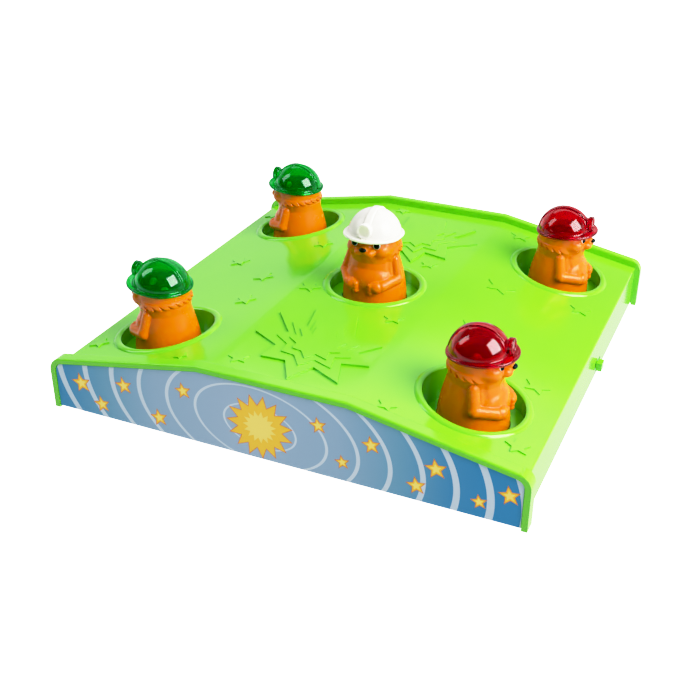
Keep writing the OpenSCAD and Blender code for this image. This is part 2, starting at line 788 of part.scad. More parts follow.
module base_cover() {
    x = inner_x - cover_gap;
    y = inner_y - cover_gap;
    color(lime) difference() {
        union() {
            translate([-x, -y, ground_gap]) cube([2 * x, 2 * y, cover_t]);
            edge_rib();
            box_block(box_wall, ground_gap, box_roof + box_wall);
            translate([door_screw_x, box_y, ground_gap]) cylinder(r = boss_r, h = door_screw_l + 3);
            for (at = board_holes()) translate([at.x, at.y, ground_gap])
                cylinder(r = boss_r - 1, h = board_z - ground_gap);
            for (i = [0 : len(STATIONS) - 1]) at_push(i) for (y = [-1, 1]) {
                drop = floor_z(i) + station_board_z - ground_gap;
                translate([0, y * (station_board_l / 2 - boss_r + 1), -board_t - drop])
                    cylinder(r = boss_r - 1, h = drop);
            }
            translate([speaker_at.x, speaker_at.y, ground_gap]) difference() {
                cylinder(r = speaker_r + stop_gap + rib_t, h = cover_t + rib_h);
                translate([0, 0, cover_t]) cylinder(r = speaker_r + stop_gap, h = rib_h + overcut);
            }
        }
        box_block(0, ground_gap - overcut, box_roof);
        door_block(door_gap, ground_gap - overcut, ground_gap + door_t + 0.2);
        door_hooks(0.2);
        translate([door_screw_x, box_y, ground_gap + screw_head_h]) screw_hole(door_screw_l);
        for (at = board_holes()) translate([at.x, at.y, board_z - board_screw_l])
            cylinder(r = screw_r + screw_gap, h = board_screw_l + overcut);
        for (at = boss_places) translate([at.x, at.y, screw_seat_z]) screw_hole(cover_screw_l);
        for (i = [0 : len(STATIONS) - 1])
            translate([station_at[i].x, station_at[i].y, screw_seat_z]) rotate(station_turn[i])
                for (side = [-1, 1]) translate([0, side * post_screw_x, 0]) screw_hole(cover_t);
        for (x = [-foot_x, foot_x], y = [-foot_y, foot_y]) translate([x, y, 0])
            cylinder(r = foot_r + cover_gap / 2, h = ground_gap + foot_seat);
        grille();
    }
}

// Battery door with grip ribs, hooks at one end and a screw at the other
grip = 1.2;
grip_h = 0.5;
grip_pitch = 4;
module battery_door() {
    color(lime) difference() {
        union() {
            door_block(0, ground_gap, ground_gap + door_t);
            door_hooks(0);
            for (k = [-2 : 2])
                translate([-box_l / 6, box_y + k * grip_pitch - grip / 2, ground_gap - grip_h])
                    cube([box_l / 3, grip, 2 * grip_h]);
        }
        translate([door_screw_x, box_y, ground_gap + screw_head_h]) screw_hole(door_screw_l);
    }
}

module battery_door_screw() {
    color("silver") translate([door_screw_x, box_y, ground_gap + screw_head_h]) screw(door_screw_l);
}

function cell_y(k) = box_y + (k - (cells - 1) / 2) * (cell_d + cell_gap);
module batteries() {
    nub_l = 1;
    color("dimgray") for (k = [0 : cells - 1])
        translate([0, cell_y(k), box_floor + cell_d / 2])
            rotate([0, k % 2 == 0 ? 90 : -90, 0]) translate([0, 0, -cell_l / 2]) {
                cylinder(d = cell_d, h = cell_l - nub_l);
                cylinder(r = cell_d / 5, h = cell_l);
            }
}

// Contact plates at both ends of each cell, with a sprung bump towards it
module battery_contacts() {
    plate = 10;
    color("silver") for (k = [0 : cells - 1], end = [-1, 1])
        translate([end * box_l / 2, cell_y(k), box_floor + cell_d / 2])
            rotate([0, -90 * end, 0]) {
                translate([-plate / 2, -plate / 2, 0]) cube([plate, plate, contact_t]);
                cylinder(r1 = plate / 2.4, r2 = plate / 5, h = contact_t + contact_l);
            }
}

module cover_screws() {
    color("silver") for (at = boss_places) translate([at.x, at.y, screw_seat_z]) screw(cover_screw_l);
}

module post_screws() {
    color("silver") for (i = [0 : len(STATIONS) - 1])
        translate([station_at[i].x, station_at[i].y, screw_seat_z]) rotate(station_turn[i])
            for (side = [-1, 1]) translate([0, side * post_screw_x, 0]) screw(post_screw_l);
}

module feet() {
    edge = 0.4;
    top = ground_gap + foot_seat;
    color("darkslategray") for (x = [-foot_x, foot_x], y = [-foot_y, foot_y]) translate([x, y, 0])
        rotate_extrude() polygon([[0, 0], [foot_r - edge, 0], [foot_r, edge], [foot_r, top], [0, top]]);
}

// Electronics

// Main board with a chip, a row of capacitors and a row of plugs, each sunk a little into it
sink = 0.1;
chip = [14, 14, 2];
capacitor_r = 2;
capacitor_h = 5;
capacitor_pitch = 5;
capacitor_at = [18, 12];
plug = [6, 5, 4];
plug_pitch = 9;
plug_at = [-20, -18];
module main_board() {
    color("darkgreen") difference() {
        translate([board_at.x, board_at.y, board_z]) {
            translate([-board_size.x / 2, -board_size.y / 2, 0]) cube([board_size.x, board_size.y, board_t]);
            translate([-chip.x / 2, -chip.y / 2, board_t - sink]) cube(chip);
            for (k = [0 : 2])
                translate([capacitor_at.x + capacitor_pitch * k, capacitor_at.y, board_t - sink])
                    cylinder(r = capacitor_r, h = capacitor_h);
            for (k = [0 : 4]) translate([plug_at.x + plug_pitch * k, plug_at.y, board_t - sink]) cube(plug);
        }
        for (at = board_holes()) translate([at.x, at.y, board_z - overcut])
            cylinder(r = screw_r + screw_gap, h = board_t + 2 * overcut);
    }
}

module board_screws() {
    color("silver") for (at = board_holes()) translate([at.x, at.y, board_z + board_t])
        mirror([0, 0, 1]) screw(board_screw_l);
}

// Speaker that faces down: rim, cone with its dust cap, basket and magnet
speaker_h = 11;
speaker_rim_w = 3;
speaker_rim_t = 1.6;
basket_h = 6.5;
magnet_r = speaker_r / 2;
cone_z = 1.5;
cap_r = 6;
cap_z = 4;
module speaker() {
    cone_r = speaker_r - speaker_rim_w;
    color("gray") translate([speaker_at.x, speaker_at.y, cover_top]) rotate_extrude() polygon([
        [0, cap_z], [cap_r, cone_z], [cone_r, cone_z], [cone_r, 0], [speaker_r, 0],
        [speaker_r, speaker_rim_t], [1.4 * magnet_r, basket_h], [magnet_r, basket_h],
        [magnet_r, speaker_h], [0, speaker_h]
    ]);
}

knob_plate_t = 0.8;
switch_face = inner_x - knob_plate_t - 2 * stop_gap;
switch_d = 8;
stem_bite = 2.4;
module power_switch() {
    color("black") difference() {
        translate([switch_face - switch_d, knob_y + knob_travel / 2 - switch_l / 2, cover_top])
            cube([switch_d, switch_l, knob_z - cover_top + 3]);
        translate([
            switch_face - stem_bite - stop_gap, knob_y - stem_l / 2 - slot_gap, knob_z - stem_h / 2 - slot_gap
        ]) cube([switch_d, stem_l + knob_travel + 2 * slot_gap, stem_h + 2 * slot_gap]);
    }
}

// The knob outside the wall, its stem through the slot and the plate that keeps it in
module switch_knob() {
    plate = [knob_plate_t, stem_l + 3, stem_h + 2];
    color(lime) translate([0, knob_y, knob_z]) {
        translate([side_x + stop_gap, -knob_l / 2, -knob_h / 2])
            cube([side_inset - stop_gap, knob_l, knob_h]);
        translate([switch_face - stem_bite, -stem_l / 2, -stem_h / 2])
            cube([side_x + stop_gap + 0.5 - switch_face + stem_bite, stem_l, stem_h]);
        translate([inner_x - stop_gap - plate.x, -plate.y / 2, -plate.z / 2]) cube(plate);
    }
}

// Ribbon wires along the cover, as points in plan from the main board outwards
ribbon_w = 4;
ribbon_t = 1;
riser_r = 0.9;
wire_gap = 2.4;
board_exit = [board_size.x / 2 - board_hole_inset, 0.55 * (board_size.y / 2 - board_hole_inset)];
station_end_x = well_x - push_at_r - station_board_w / 2 - wire_gap;
speaker_end_x = well_x - speaker_r - stop_gap - rib_t - wire_gap;
switch_end_x = switch_face - switch_d - wire_gap;
wire_runs = [
    for (side = [-1, 1]) each [
        [board_at + [side * board_exit.x, board_exit.y], [side * station_end_x, back_well_y]],
        [board_at + [side * board_exit.x, -board_exit.y], [side * 40, 60], [side * 44, 50], [side * 44, -56],
            [side * station_end_x, front_well_y + 3]]
    ],
    [board_at - [board_exit.x, 0], [-50, 62], [-58, 24], [-speaker_end_x, middle_well_y + 6]],
    [board_at + [board_exit.x, 0], [50, 62], [70, 32], [switch_end_x, knob_y + 3.4]],
    [[-16, 60], [-22, 30], [-24, -24], [-22, -45]],
    [[0, 60], [0, 24]]
];
function across(a, b) = let (u = unit(b - a)) [-u.y, u.x];
function edge_of(run, side) = [
    for (k = [0 : len(run) - 1]) let (
        before = k > 0 ? across(run[k - 1], run[k]) : across(run[0], run[1]),
        after = k < len(run) - 1 ? across(run[k], run[k + 1]) : before
    ) run[k] + side * ribbon_w / 2 * (before + after) / (1 + before * after)
];
function backwards(list) = [for (k = [len(list) - 1 : -1 : 0]) list[k]];
module wire_harness() {
    middle_board_z = floor_z(2) + station_board_z;
    color("firebrick") {
        for (run = wire_runs) translate([0, 0, cover_top]) {
            linear_extrude(ribbon_t) polygon(concat(edge_of(run, 1), backwards(edge_of(run, -1))));
            translate(run[0] + unit(run[1] - run[0])) cylinder(r = riser_r, h = board_z - cover_top);
        }
        translate([0, middle_well_y + push_at_r + 0.4 * station_board_w, cover_top])
            cylinder(r = riser_r, h = middle_board_z - cover_top);
    }
}

PER_STATION = ["mole_body_", "helmet_", "return_spring_", "guide_post_", "lamp_"];

deck_shell();
front_label();
base_cover();
battery_door();
battery_door_screw();
batteries();
battery_contacts();
cover_screws();
post_screws();
feet();
main_board();
board_screws();
speaker();
power_switch();
switch_knob();
station_boards();
tact_switches();
wire_harness();
for (i = [0 : len(STATIONS) - 1]) {
    mole_body(i);
    helmet(i);
    return_spring(i);
    guide_post(i);
    lamp(i);
}
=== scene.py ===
# %% [markdown]
# # A whack-a-mole toy
# A low green console has five wells, and in each one sits a sprung orange mole in a hard hat.
# The CAD model gives the sizes, the bodies and the joints. This lesson dresses it: it loads that model
# as a fixed frame, gives each node its finish, and makes finer moles, hats and springs where the toy
# has soft moulded shapes.

# %% Load the frame
import math
from functools import partial

import bmesh
import bpy
import numpy as np
from mathutils import Matrix, Vector


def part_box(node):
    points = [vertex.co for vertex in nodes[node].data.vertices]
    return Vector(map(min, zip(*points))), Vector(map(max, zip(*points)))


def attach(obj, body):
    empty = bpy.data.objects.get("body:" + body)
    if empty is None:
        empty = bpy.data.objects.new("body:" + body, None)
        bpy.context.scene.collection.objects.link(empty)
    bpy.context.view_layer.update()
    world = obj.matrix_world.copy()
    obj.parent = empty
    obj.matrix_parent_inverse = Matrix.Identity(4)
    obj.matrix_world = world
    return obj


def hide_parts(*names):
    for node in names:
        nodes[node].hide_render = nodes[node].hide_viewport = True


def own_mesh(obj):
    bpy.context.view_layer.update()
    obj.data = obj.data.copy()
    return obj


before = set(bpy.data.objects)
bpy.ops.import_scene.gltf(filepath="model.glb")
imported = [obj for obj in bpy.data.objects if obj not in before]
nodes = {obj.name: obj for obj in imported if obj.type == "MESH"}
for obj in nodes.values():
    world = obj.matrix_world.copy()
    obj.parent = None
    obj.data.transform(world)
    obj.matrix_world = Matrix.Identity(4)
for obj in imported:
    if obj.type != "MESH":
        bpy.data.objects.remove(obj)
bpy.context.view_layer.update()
MM = 0.001

# %% [markdown]
# ## The camera
# The photograph was taken from the front right, a little above the toy. A camera is known by where it
# looks from, how far away it is and how long its lens is. The angles here are the photograph's, so a
# render can be laid over it. The aim is written along the picture's own right and up directions.

# %% Camera
scene = bpy.context.scene
CAMERA_TURN = math.radians(23.847)
CAMERA_RISE = math.radians(29.242)
CAMERA_ROLL = math.radians(0.309)
CAMERA_DISTANCE = 0.63224
CAMERA_AIM_RIGHT = -0.012746
CAMERA_AIM_UP = 0.000065
LENS_MM = 55.305
SENSOR_MM = 36


def add_object(name, data):
    """An object that shows a mesh, a light or a camera, linked into the scene."""
    made = bpy.data.objects.new(name, data)
    scene.collection.objects.link(made)
    return made


back = Vector((
    math.sin(CAMERA_TURN) * math.cos(CAMERA_RISE),
    -math.cos(CAMERA_TURN) * math.cos(CAMERA_RISE),
    math.sin(CAMERA_RISE),
))
level_right = (-back).cross(Vector((0, 0, 1))).normalized()
level_up = level_right.cross(-back)
picture_right = level_right * math.cos(CAMERA_ROLL) + level_up * math.sin(CAMERA_ROLL)
picture_up = level_up * math.cos(CAMERA_ROLL) - level_right * math.sin(CAMERA_ROLL)
aim = picture_right * CAMERA_AIM_RIGHT + picture_up * CAMERA_AIM_UP

camera = add_object("camera", bpy.data.cameras.new("camera"))
turned = Matrix((picture_right, picture_up, back)).transposed().to_4x4()
camera.matrix_world = Matrix.Translation(aim + back * CAMERA_DISTANCE) @ turned
camera.data.lens = LENS_MM
camera.data.sensor_width = SENSOR_MM
bpy.context.scene.camera = camera
print("camera at", [round(v, 4) for v in camera.matrix_world.translation])

# %% [markdown]
# ## Floor and light
# The toy stands on a white sweep that glows, so it stays pure white and takes no shadow, as on a light
# table. The picture is a bright catalogue shot: strong light, with a tone curve that bends over near white,
# as film does, so bright parts keep their detail. A dip at the low end of the red curve makes green in the
# shade deeper. The glow that the camera sees is brighter than the light that the sweep sends back, so the
# floor is left out of the bounced light, and the lower half of the world takes its place there.

# %% Tone curve
scene.view_settings.view_transform = "Standard"
BLACK_LEVEL = 0.008
WHITE_LEVEL = 2.4
CURVE = [(0.35, 0.35), (0.7, 0.69), (1.0, 0.84), (1.4, 0.935)]
RED_DIP = [(0.03, 0.014), (0.07, 0.048), (0.14, 0.12), (0.3, 0.3)]

tone = scene.view_settings.curve_mapping
scene.view_settings.use_curve_mapping = True
tone.black_level = (BLACK_LEVEL, BLACK_LEVEL, BLACK_LEVEL)
tone.white_level = (WHITE_LEVEL, WHITE_LEVEL, WHITE_LEVEL)
red_curve, all_curve = tone.curves[0], tone.curves[3]
for light_in, light_out in CURVE:
    all_curve.points.new(light_in / WHITE_LEVEL, light_out)
for red_in, red_out in RED_DIP:
    red_curve.points.new(red_in, red_out)
tone.update()
print("tone curve points:", len(all_curve.points))

# %% [markdown]
# The sweep is a round floor with a wall round it, far enough away to fill any view. A plain white floor
# would need very strong light to come out pure white, so both glow instead. Only the camera sees them, so
# they don't light the toy, and their glow hides its shadow.

# %% Floor and backdrop
SWEEP_R = 6.0
SWEEP_H = 6.0
FLOOR_Z = -0.0002
FLOOR_GLOW = 2.6
SWEEP_SIDES = 64


def new_material(name):
    """A material, its node tree and its shader."""
    made = bpy.data.materials.new(name)
    made.use_nodes = True
    return made, made.node_tree, made.node_tree.nodes["Principled BSDF"]


def set_inputs(node, values):
    """Sets a node's inputs by name."""
    for name, value in values.items():
        node.inputs[name].default_value = value


paper, _, paper_shader = new_material("studio_paper")
set_inputs(paper_shader, {
    "Base Color": (0.05, 0.05, 0.05, 1), "Roughness": 0.9, "Specular IOR Level": 0.0,
    "Emission Color": (1, 1, 1, 1), "Emission Strength": FLOOR_GLOW,
})


def studio_paper(name, points, faces):
    """A glowing sheet that the camera sees, and that neither lights the toy nor shades it."""
    mesh = bpy.data.meshes.new(name)
    mesh.from_pydata(points, [], faces)
    mesh.materials.append(paper)
    made = add_object(name, mesh)
    made.visible_diffuse = False
    made.visible_glossy = False
    made.visible_transmission = False
    made.visible_shadow = False
    return made


turns = [2 * math.pi * k / SWEEP_SIDES for k in range(SWEEP_SIDES)]
rim = [(SWEEP_R * math.cos(t), SWEEP_R * math.sin(t)) for t in turns]
floor = studio_paper("studio_floor", [(*p, FLOOR_Z) for p in rim], [tuple(range(SWEEP_SIDES))])
wall_points = [(*p, z) for z in (FLOOR_Z, SWEEP_H) for p in rim]
wall_faces = []
for k in range(SWEEP_SIDES):
    after = (k + 1) % SWEEP_SIDES
    wall_faces.append((k, after, SWEEP_SIDES + after, SWEEP_SIDES + k))
backdrop = studio_paper("studio_backdrop", wall_points, wall_faces)
print("stage:", floor.name, backdrop.name)

# %% [markdown]
# A large soft light on the right makes the right wall almost white, one overhead lights the deck, and a
# tall one on the left fills the shadows. A wide strip behind leaves a soft patch on the hats and the right
# wing, where the large overhead light would leave a big square, so that one is kept out of the gloss. The
# world is dark above and bright near and below the horizon, where the sweep is: that keeps the glossy hats
# deep in colour and gives the left wing its sheen.

# %% Lights
LIGHT_AIM = Vector((0, 0, 0.03))
LIGHTS = {
    "key_light": {"place": (0.91, -0.12, 0.70), "width": 0.78, "height": 0.78, "watts": 27},
    "top_light": {"place": (0.0, 0.1, 1.1), "width": 1.6, "height": 1.6, "watts": 10},
    "fill_light": {"place": (-0.95, -0.2, 0.82), "width": 0.4, "height": 0.75, "watts": 4.5},
    "back_strip": {"place": (-0.1, 0.88, 0.85), "width": 1.5, "height": 0.34, "watts": 2.2},
}


def soft_light(name, place, width, height, watts):
    """An area light at a place, turned towards the toy. Lengths are in metres."""
    data = bpy.data.lights.new(name, "AREA")
    data.energy = watts
    data.shape = "RECTANGLE"
    data.size = width
    data.size_y = height
    made = add_object(name, data)
    made.location = place
    made.rotation_euler = (LIGHT_AIM - Vector(place)).to_track_quat("-Z", "Y").to_euler()
    return made


lights = {name: soft_light(name, **values) for name, values in LIGHTS.items()}
lights["top_light"].visible_glossy = False
print("lights:", list(lights))

# %% [markdown]
# The world and the finishes are trees of nodes. Small helpers keep the code for them short: each one adds a
# node, sets its inputs and links it. What comes back is a pair of node and output, which goes straight into
# the next helper.

# %% Helpers for nodes


def link(tree, source, output, target, socket):
    """Links an output of one node to an input of another, by their names."""
    tree.links.new(source.outputs[output], target.inputs[socket])


def feed(tree, pair, socket):
    """Links a (node, output) pair to an input socket."""
    node, output = pair
    tree.links.new(node.outputs[output], socket)


def math_node(tree, operation, *values):
    """A math node whose inputs are numbers or (node, output) pairs."""
    made = tree.nodes.new("ShaderNodeMath")
    made.operation = operation
    for socket, value in zip(made.inputs, values):
        if isinstance(value, tuple):
            feed(tree, value, socket)
        else:
            socket.default_value = value
    return made, 0


def step_node(tree, value, low, high):
    """Goes smoothly from 0 at low to 1 at high."""
    made = tree.nodes.new("ShaderNodeMapRange")
    made.interpolation_type = "SMOOTHSTEP"
    set_inputs(made, {"From Min": low, "From Max": high})
    feed(tree, value, made.inputs["Value"])
    return made, 0


print("helpers: link, feed, math_node, step_node")

# %% [markdown]
# The world stands for the room. Below the horizon it is the glowing floor. Behind the toy the sweep curves
# up to about a quarter of the way to the top, and everything else is dark. A picture of a studio could do
# this too, but a few math nodes on the direction of view need no file, and each part has its own number.

# %% World
SWEEP_TOP = math.sin(math.radians(24))
SWEEP_BLUR = 0.1
BEHIND_FROM = -0.1
BEHIND_FULL = 0.5
HORIZON_BLUR = 0.05
ROOM_DARK = 0.10
SWEEP_GLOW = 1.05
SWEEP_BACK = 0.7

world = bpy.data.worlds.new("studio")
world.use_nodes = True
room = world.node_tree
direction = room.nodes.new("ShaderNodeTexCoord")
look = room.nodes.new("ShaderNodeSeparateXYZ")
link(room, direction, "Generated", look, "Vector")
down = math_node(room, "MULTIPLY", (look, "Z"), -1)
floor_share = step_node(room, down, -HORIZON_BLUR, HORIZON_BLUR)
over_sweep = step_node(room, (look, "Z"), SWEEP_TOP - SWEEP_BLUR, SWEEP_TOP + SWEEP_BLUR)
sweep_share = math_node(room, "SUBTRACT", 1.0, over_sweep)
behind = step_node(room, (look, "Y"), BEHIND_FROM, BEHIND_FULL)
sweep_share = math_node(room, "MULTIPLY", sweep_share, behind)
sweep_share = math_node(room, "MULTIPLY", sweep_share, SWEEP_BACK)
brightest = math_node(room, "MAXIMUM", floor_share, sweep_share)
glow = math_node(room, "MULTIPLY_ADD", brightest, SWEEP_GLOW, ROOM_DARK)
feed(room, glow, room.nodes["Background"].inputs["Strength"])
room.nodes["Background"].inputs["Color"].default_value = (1, 1, 1, 1)
scene.world = world
print("world:", world.name, len(room.nodes), "nodes")

# %% [markdown]
# ## Moulded plastic
# Most of the toy is injection moulded. Such plastic has one colour all through, a gloss that varies a
# little from place to place, and a faint waviness in its skin. A noise texture on Object coordinates gives
# such slow changes: a ramp turns them into a range of one colour, and a map range into a range of
# roughness. The coordinates are metres, so a noise of scale 25 has patches of about 4 cm.

# %% Helpers for finishes
TINT_RANGE = (0.3, 0.7)


def noise_node(tree, coordinates, scale, detail=3.0):
    """A noise texture on Object coordinates."""
    made = tree.nodes.new("ShaderNodeTexNoise")
    set_inputs(made, {"Scale": scale, "Detail": detail})
    link(tree, coordinates, "Object", made, "Vector")
    return made


def ramp_node(tree, value, stops):
    """A colour ramp fed by a (node, output) pair, with stops of (place, colour)."""
    made = tree.nodes.new("ShaderNodeValToRGB")
    ramp = made.color_ramp
    while len(ramp.elements) < len(stops):
        ramp.elements.new(0.5)
    for element, (place, colour) in zip(ramp.elements, stops):
        element.position = place
        element.color = (*colour, 1)
    feed(tree, value, made.inputs["Fac"])
    return made


def uneven_tint(tree, shader, noise, colour, shade):
    """Colours a shader by a noise, from shade times the colour up to the colour itself."""
    darker = tuple(shade * c for c in colour)
    tint = ramp_node(tree, (noise, "Fac"), list(zip(TINT_RANGE, (darker, colour))))
    link(tree, tint, "Color", shader, "Base Color")


def uneven_gloss(tree, shader, noise, low, high):
    """Lets a shader's roughness follow a noise, between low and high."""
    made = tree.nodes.new("ShaderNodeMapRange")
    set_inputs(made, {"To Min": low, "To Max": high})
    link(tree, noise, "Fac", made, "Value")
    link(tree, made, "Result", shader, "Roughness")


print("helpers: noise_node, ramp_node, uneven_tint, uneven_gloss")

# %% [markdown]
# One function makes the plastic finish for any colour, with a fine bump for the skin. The moles' orange
# lets a little light in, red furthest, so their shaded sides stay warm.

# %% Plastic finish
PATCH_SCALE = 25
SHEEN_SCALE = 120
SKIN_SCALE = 900
SKIN_DETAIL = 2
SKIN_DEPTH = 0.0002


def moulded_plastic(name, colour, gloss, shade=0.9, bump=0.03, specular=0.5):
    """Coloured plastic with a range of roughness. shade is how far the colour darkens in patches."""
    made, tree, shader = new_material(name)
    shader.inputs["Specular IOR Level"].default_value = specular
    coordinates = tree.nodes.new("ShaderNodeTexCoord")
    uneven_tint(tree, shader, noise_node(tree, coordinates, PATCH_SCALE), colour, shade)
    uneven_gloss(tree, shader, noise_node(tree, coordinates, SHEEN_SCALE), *gloss)
    relief = tree.nodes.new("ShaderNodeBump")
    set_inputs(relief, {"Strength": bump, "Distance": SKIN_DEPTH})
    link(tree, noise_node(tree, coordinates, SKIN_SCALE, SKIN_DETAIL), "Fac", relief, "Height")
    link(tree, relief, "Normal", shader, "Normal")
    return made


def scatter_light(material, weight, reach):
    """Lets light into a plastic. reach is how far red, green and blue go, in metres."""
    set_inputs(material.node_tree.nodes["Principled BSDF"], {
        "Subsurface Weight": weight, "Subsurface Radius": reach, "Subsurface Scale": 1.0,
    })


lime = moulded_plastic("lime_plastic", (0.192, 0.585, 0.014), gloss=(0.09, 0.17), shade=0.96)
orange = moulded_plastic(
    "orange_plastic", (0.73, 0.155, 0.001), gloss=(0.2, 0.32), shade=0.92, specular=0.3,
)
scatter_light(orange, weight=0.3, reach=(0.004, 0.001, 0.0003))
grey = moulded_plastic("grey_plastic", (0.62, 0.62, 0.60), gloss=(0.35, 0.5))
black = moulded_plastic("black_plastic", (0.02, 0.02, 0.02), gloss=(0.3, 0.45))
print("plastics:", lime.name, orange.name, grey.name, black.name)

# %% [markdown]
# ## See-through hats
# A hat lights up when its mole pops up, so it is moulded in clear tinted plastic. Light passes through
# the wall twice on its way to the eye, which makes the middle dark and the thin edges bright. The
# shader's transmission does this by itself because each hat has a real wall. The white one is milky:
# it scatters light inside the wall instead.

# %% Hat finishes
HAT_SHADE = 0.93
HAT_SWIRL_SCALE = 60
HAT_SHEEN_SCALE = 180
HAT_GLOSS = (0.03, 0.1)


def tinted_hat(name, colour, clear):
    """See-through plastic of a colour. clear is the share of light that goes through."""
    made, tree, shader = new_material(name)
    set_inputs(shader, {"Transmission Weight": clear, "IOR": 1.5, "Specular IOR Level": 0.32})
    coordinates = tree.nodes.new("ShaderNodeTexCoord")
    uneven_tint(tree, shader, noise_node(tree, coordinates, HAT_SWIRL_SCALE), colour, HAT_SHADE)
    uneven_gloss(tree, shader, noise_node(tree, coordinates, HAT_SHEEN_SCALE), *HAT_GLOSS)
    return made


green_hat = tinted_hat("green_hat", (0.001, 0.56, 0.03), clear=0.9)
red_hat = tinted_hat("red_hat", (0.73, 0.003, 0.025), clear=0.9)
white_hat = tinted_hat("white_hat", (0.82, 0.81, 0.73), clear=0.0)
scatter_light(white_hat, weight=1.0, reach=(0.003, 0.003, 0.003))
print("hats:", green_hat.name, red_hat.name, white_hat.name)

# %% [markdown]
# ## The hidden parts
# Screws, springs, cells, boards and wires show only from below or with the cover off, yet each has its
# own finish: brushed metal is a metallic shader with streaks in its colour and roughness, a circuit board
# is dark green lacquer with a grid of lighter tracks, rubber is dark and dull.

# %% Metal, rubber and board finishes
STREAK_SCALE = (400, 400, 4000)
METAL_SHADE = 0.85
ROUGH_SPREAD = 0.4


def streaked_metal(name, colour, rough):
    """Brushed metal of a colour, with a middle roughness that its streaks vary."""
    made, tree, shader = new_material(name)
    shader.inputs["Metallic"].default_value = 1.0
    coordinates = tree.nodes.new("ShaderNodeTexCoord")
    stretch = tree.nodes.new("ShaderNodeMapping")
    stretch.inputs["Scale"].default_value = STREAK_SCALE
    link(tree, coordinates, "Object", stretch, "Vector")
    streaks = tree.nodes.new("ShaderNodeTexNoise")
    streaks.inputs["Scale"].default_value = 1.0
    link(tree, stretch, "Vector", streaks, "Vector")
    uneven_tint(tree, shader, streaks, colour, METAL_SHADE)
    uneven_gloss(tree, shader, streaks, (1 - ROUGH_SPREAD) * rough, (1 + ROUGH_SPREAD) * rough)
    return made


def circuit_board(name):
    """Green lacquer with tracks in a grid."""
    made, tree, shader = new_material(name)
    coordinates = tree.nodes.new("ShaderNodeTexCoord")
    tracks = tree.nodes.new("ShaderNodeTexBrick")
    set_inputs(tracks, {
        "Scale": 180, "Mortar Size": 0.03, "Mortar": (0.05, 0.22, 0.07, 1),
        "Color1": (0.01, 0.10, 0.03, 1), "Color2": (0.012, 0.12, 0.035, 1),
    })
    link(tree, coordinates, "Object", tracks, "Vector")
    link(tree, tracks, "Color", shader, "Base Color")
    shader.inputs["Roughness"].default_value = 0.35
    return made


steel = streaked_metal("plated_steel", (0.62, 0.62, 0.63), rough=0.3)
can_metal = streaked_metal("cell_wrap", (0.20, 0.21, 0.23), rough=0.35)
board = circuit_board("circuit_board")
rubber = moulded_plastic("foot_rubber", (0.045, 0.035, 0.035), gloss=(0.7, 0.85), bump=0.2)
sleeve = moulded_plastic("wire_sleeve", (0.45, 0.02, 0.02), gloss=(0.4, 0.5))
lens = moulded_plastic("lamp_lens", (0.85, 0.86, 0.9), gloss=(0.08, 0.14))
print("other finishes:", steel.name, can_metal.name, board.name, rubber.name, sleeve.name, lens.name)

# %% [markdown]
# ## The front label
# A printed sheet fills the recess in the front wall. Its print is a plain pattern: a blue ground that pales
# towards a place left of the middle, light oval rings that widen outwards, a yellow burst in the middle of
# the rings, and yellow stars. Burst and stars have an orange edge and a paler heart. Each is drawn from
# Object coordinates with math nodes, so it stays sharp at any size. First come small helpers that write
# the nodes.

# %% Helpers for a print
# Places of the colours among a Mix node's sockets
MIX_UNDER, MIX_OVER, MIX_RESULT = 6, 7, 2


def blend_node(tree, share, under, over):
    """Mixes the colour under towards the colour over by a share."""
    made = tree.nodes.new("ShaderNodeMix")
    made.data_type = "RGBA"
    feed(tree, share, made.inputs["Factor"])
    for socket, value in ((made.inputs[MIX_UNDER], under), (made.inputs[MIX_OVER], over)):
        if isinstance(value[0], bpy.types.Node):
            feed(tree, value, socket)
        else:
            socket.default_value = (*value, 1)
    return made, MIX_RESULT


def star_reach(tree, x, z, points, waist, turn=0.0):
    """How large a star round the origin has to be to reach a place. waist is how far its notches go out."""
    calc = partial(math_node, tree)
    square = calc("ADD", calc("POWER", x, 2), calc("POWER", z, 2))
    r = calc("SQRT", square)
    angle = calc("ADD", calc("ARCTAN2", x, z), turn)
    from_tip = calc("PINGPONG", angle, math.pi / points)
    slant = (1 - waist * math.cos(math.pi / points)) / (waist * math.sin(math.pi / points))
    side = calc("MULTIPLY", calc("SINE", from_tip), slant)
    return calc("MULTIPLY", r, calc("ADD", calc("COSINE", from_tip), side))


print("helpers: blend_node, star_reach")

# %% [markdown]
# A row of stars is drawn cell by cell. The sheet is cut into columns of one width, the number of a column
# gives random values from a White Noise node, and those move that column's star about and size it. The
# sheet is lower at its ends, so the stars' height is a share of the height there. A column next to the
# burst, or with its middle past the sheet's end, stays empty.

# %% Rows of stars
SHEET_HALF = 0.127
SHEET_CROWN = 0.0428
WING_SLOPE = 0.186
CROWN_HALF = 0.0403
RING_MIDDLE = (-0.006, 0.020)
BURST_R = 0.0185
BURST_CLEAR = 1.5 * BURST_R
STAR_PITCH = 0.034
STAR_ASIDE = 0.15
STAR_R = 0.0040
STAR_R_SPREAD = 0.0026
STAR_POINTS = 5
STAR_WAIST = 0.45
STAR_TURN = 0.2


def random_value(tree, column, seed):
    """A value from 0 to 1 that a column's number and a seed fix."""
    made = tree.nodes.new("ShaderNodeTexWhiteNoise")
    made.noise_dimensions = "2D"
    spot = tree.nodes.new("ShaderNodeCombineXYZ")
    feed(tree, column, spot.inputs["X"])
    spot.inputs["Y"].default_value = seed
    link(tree, spot, "Vector", made, "Vector")
    return made, 0


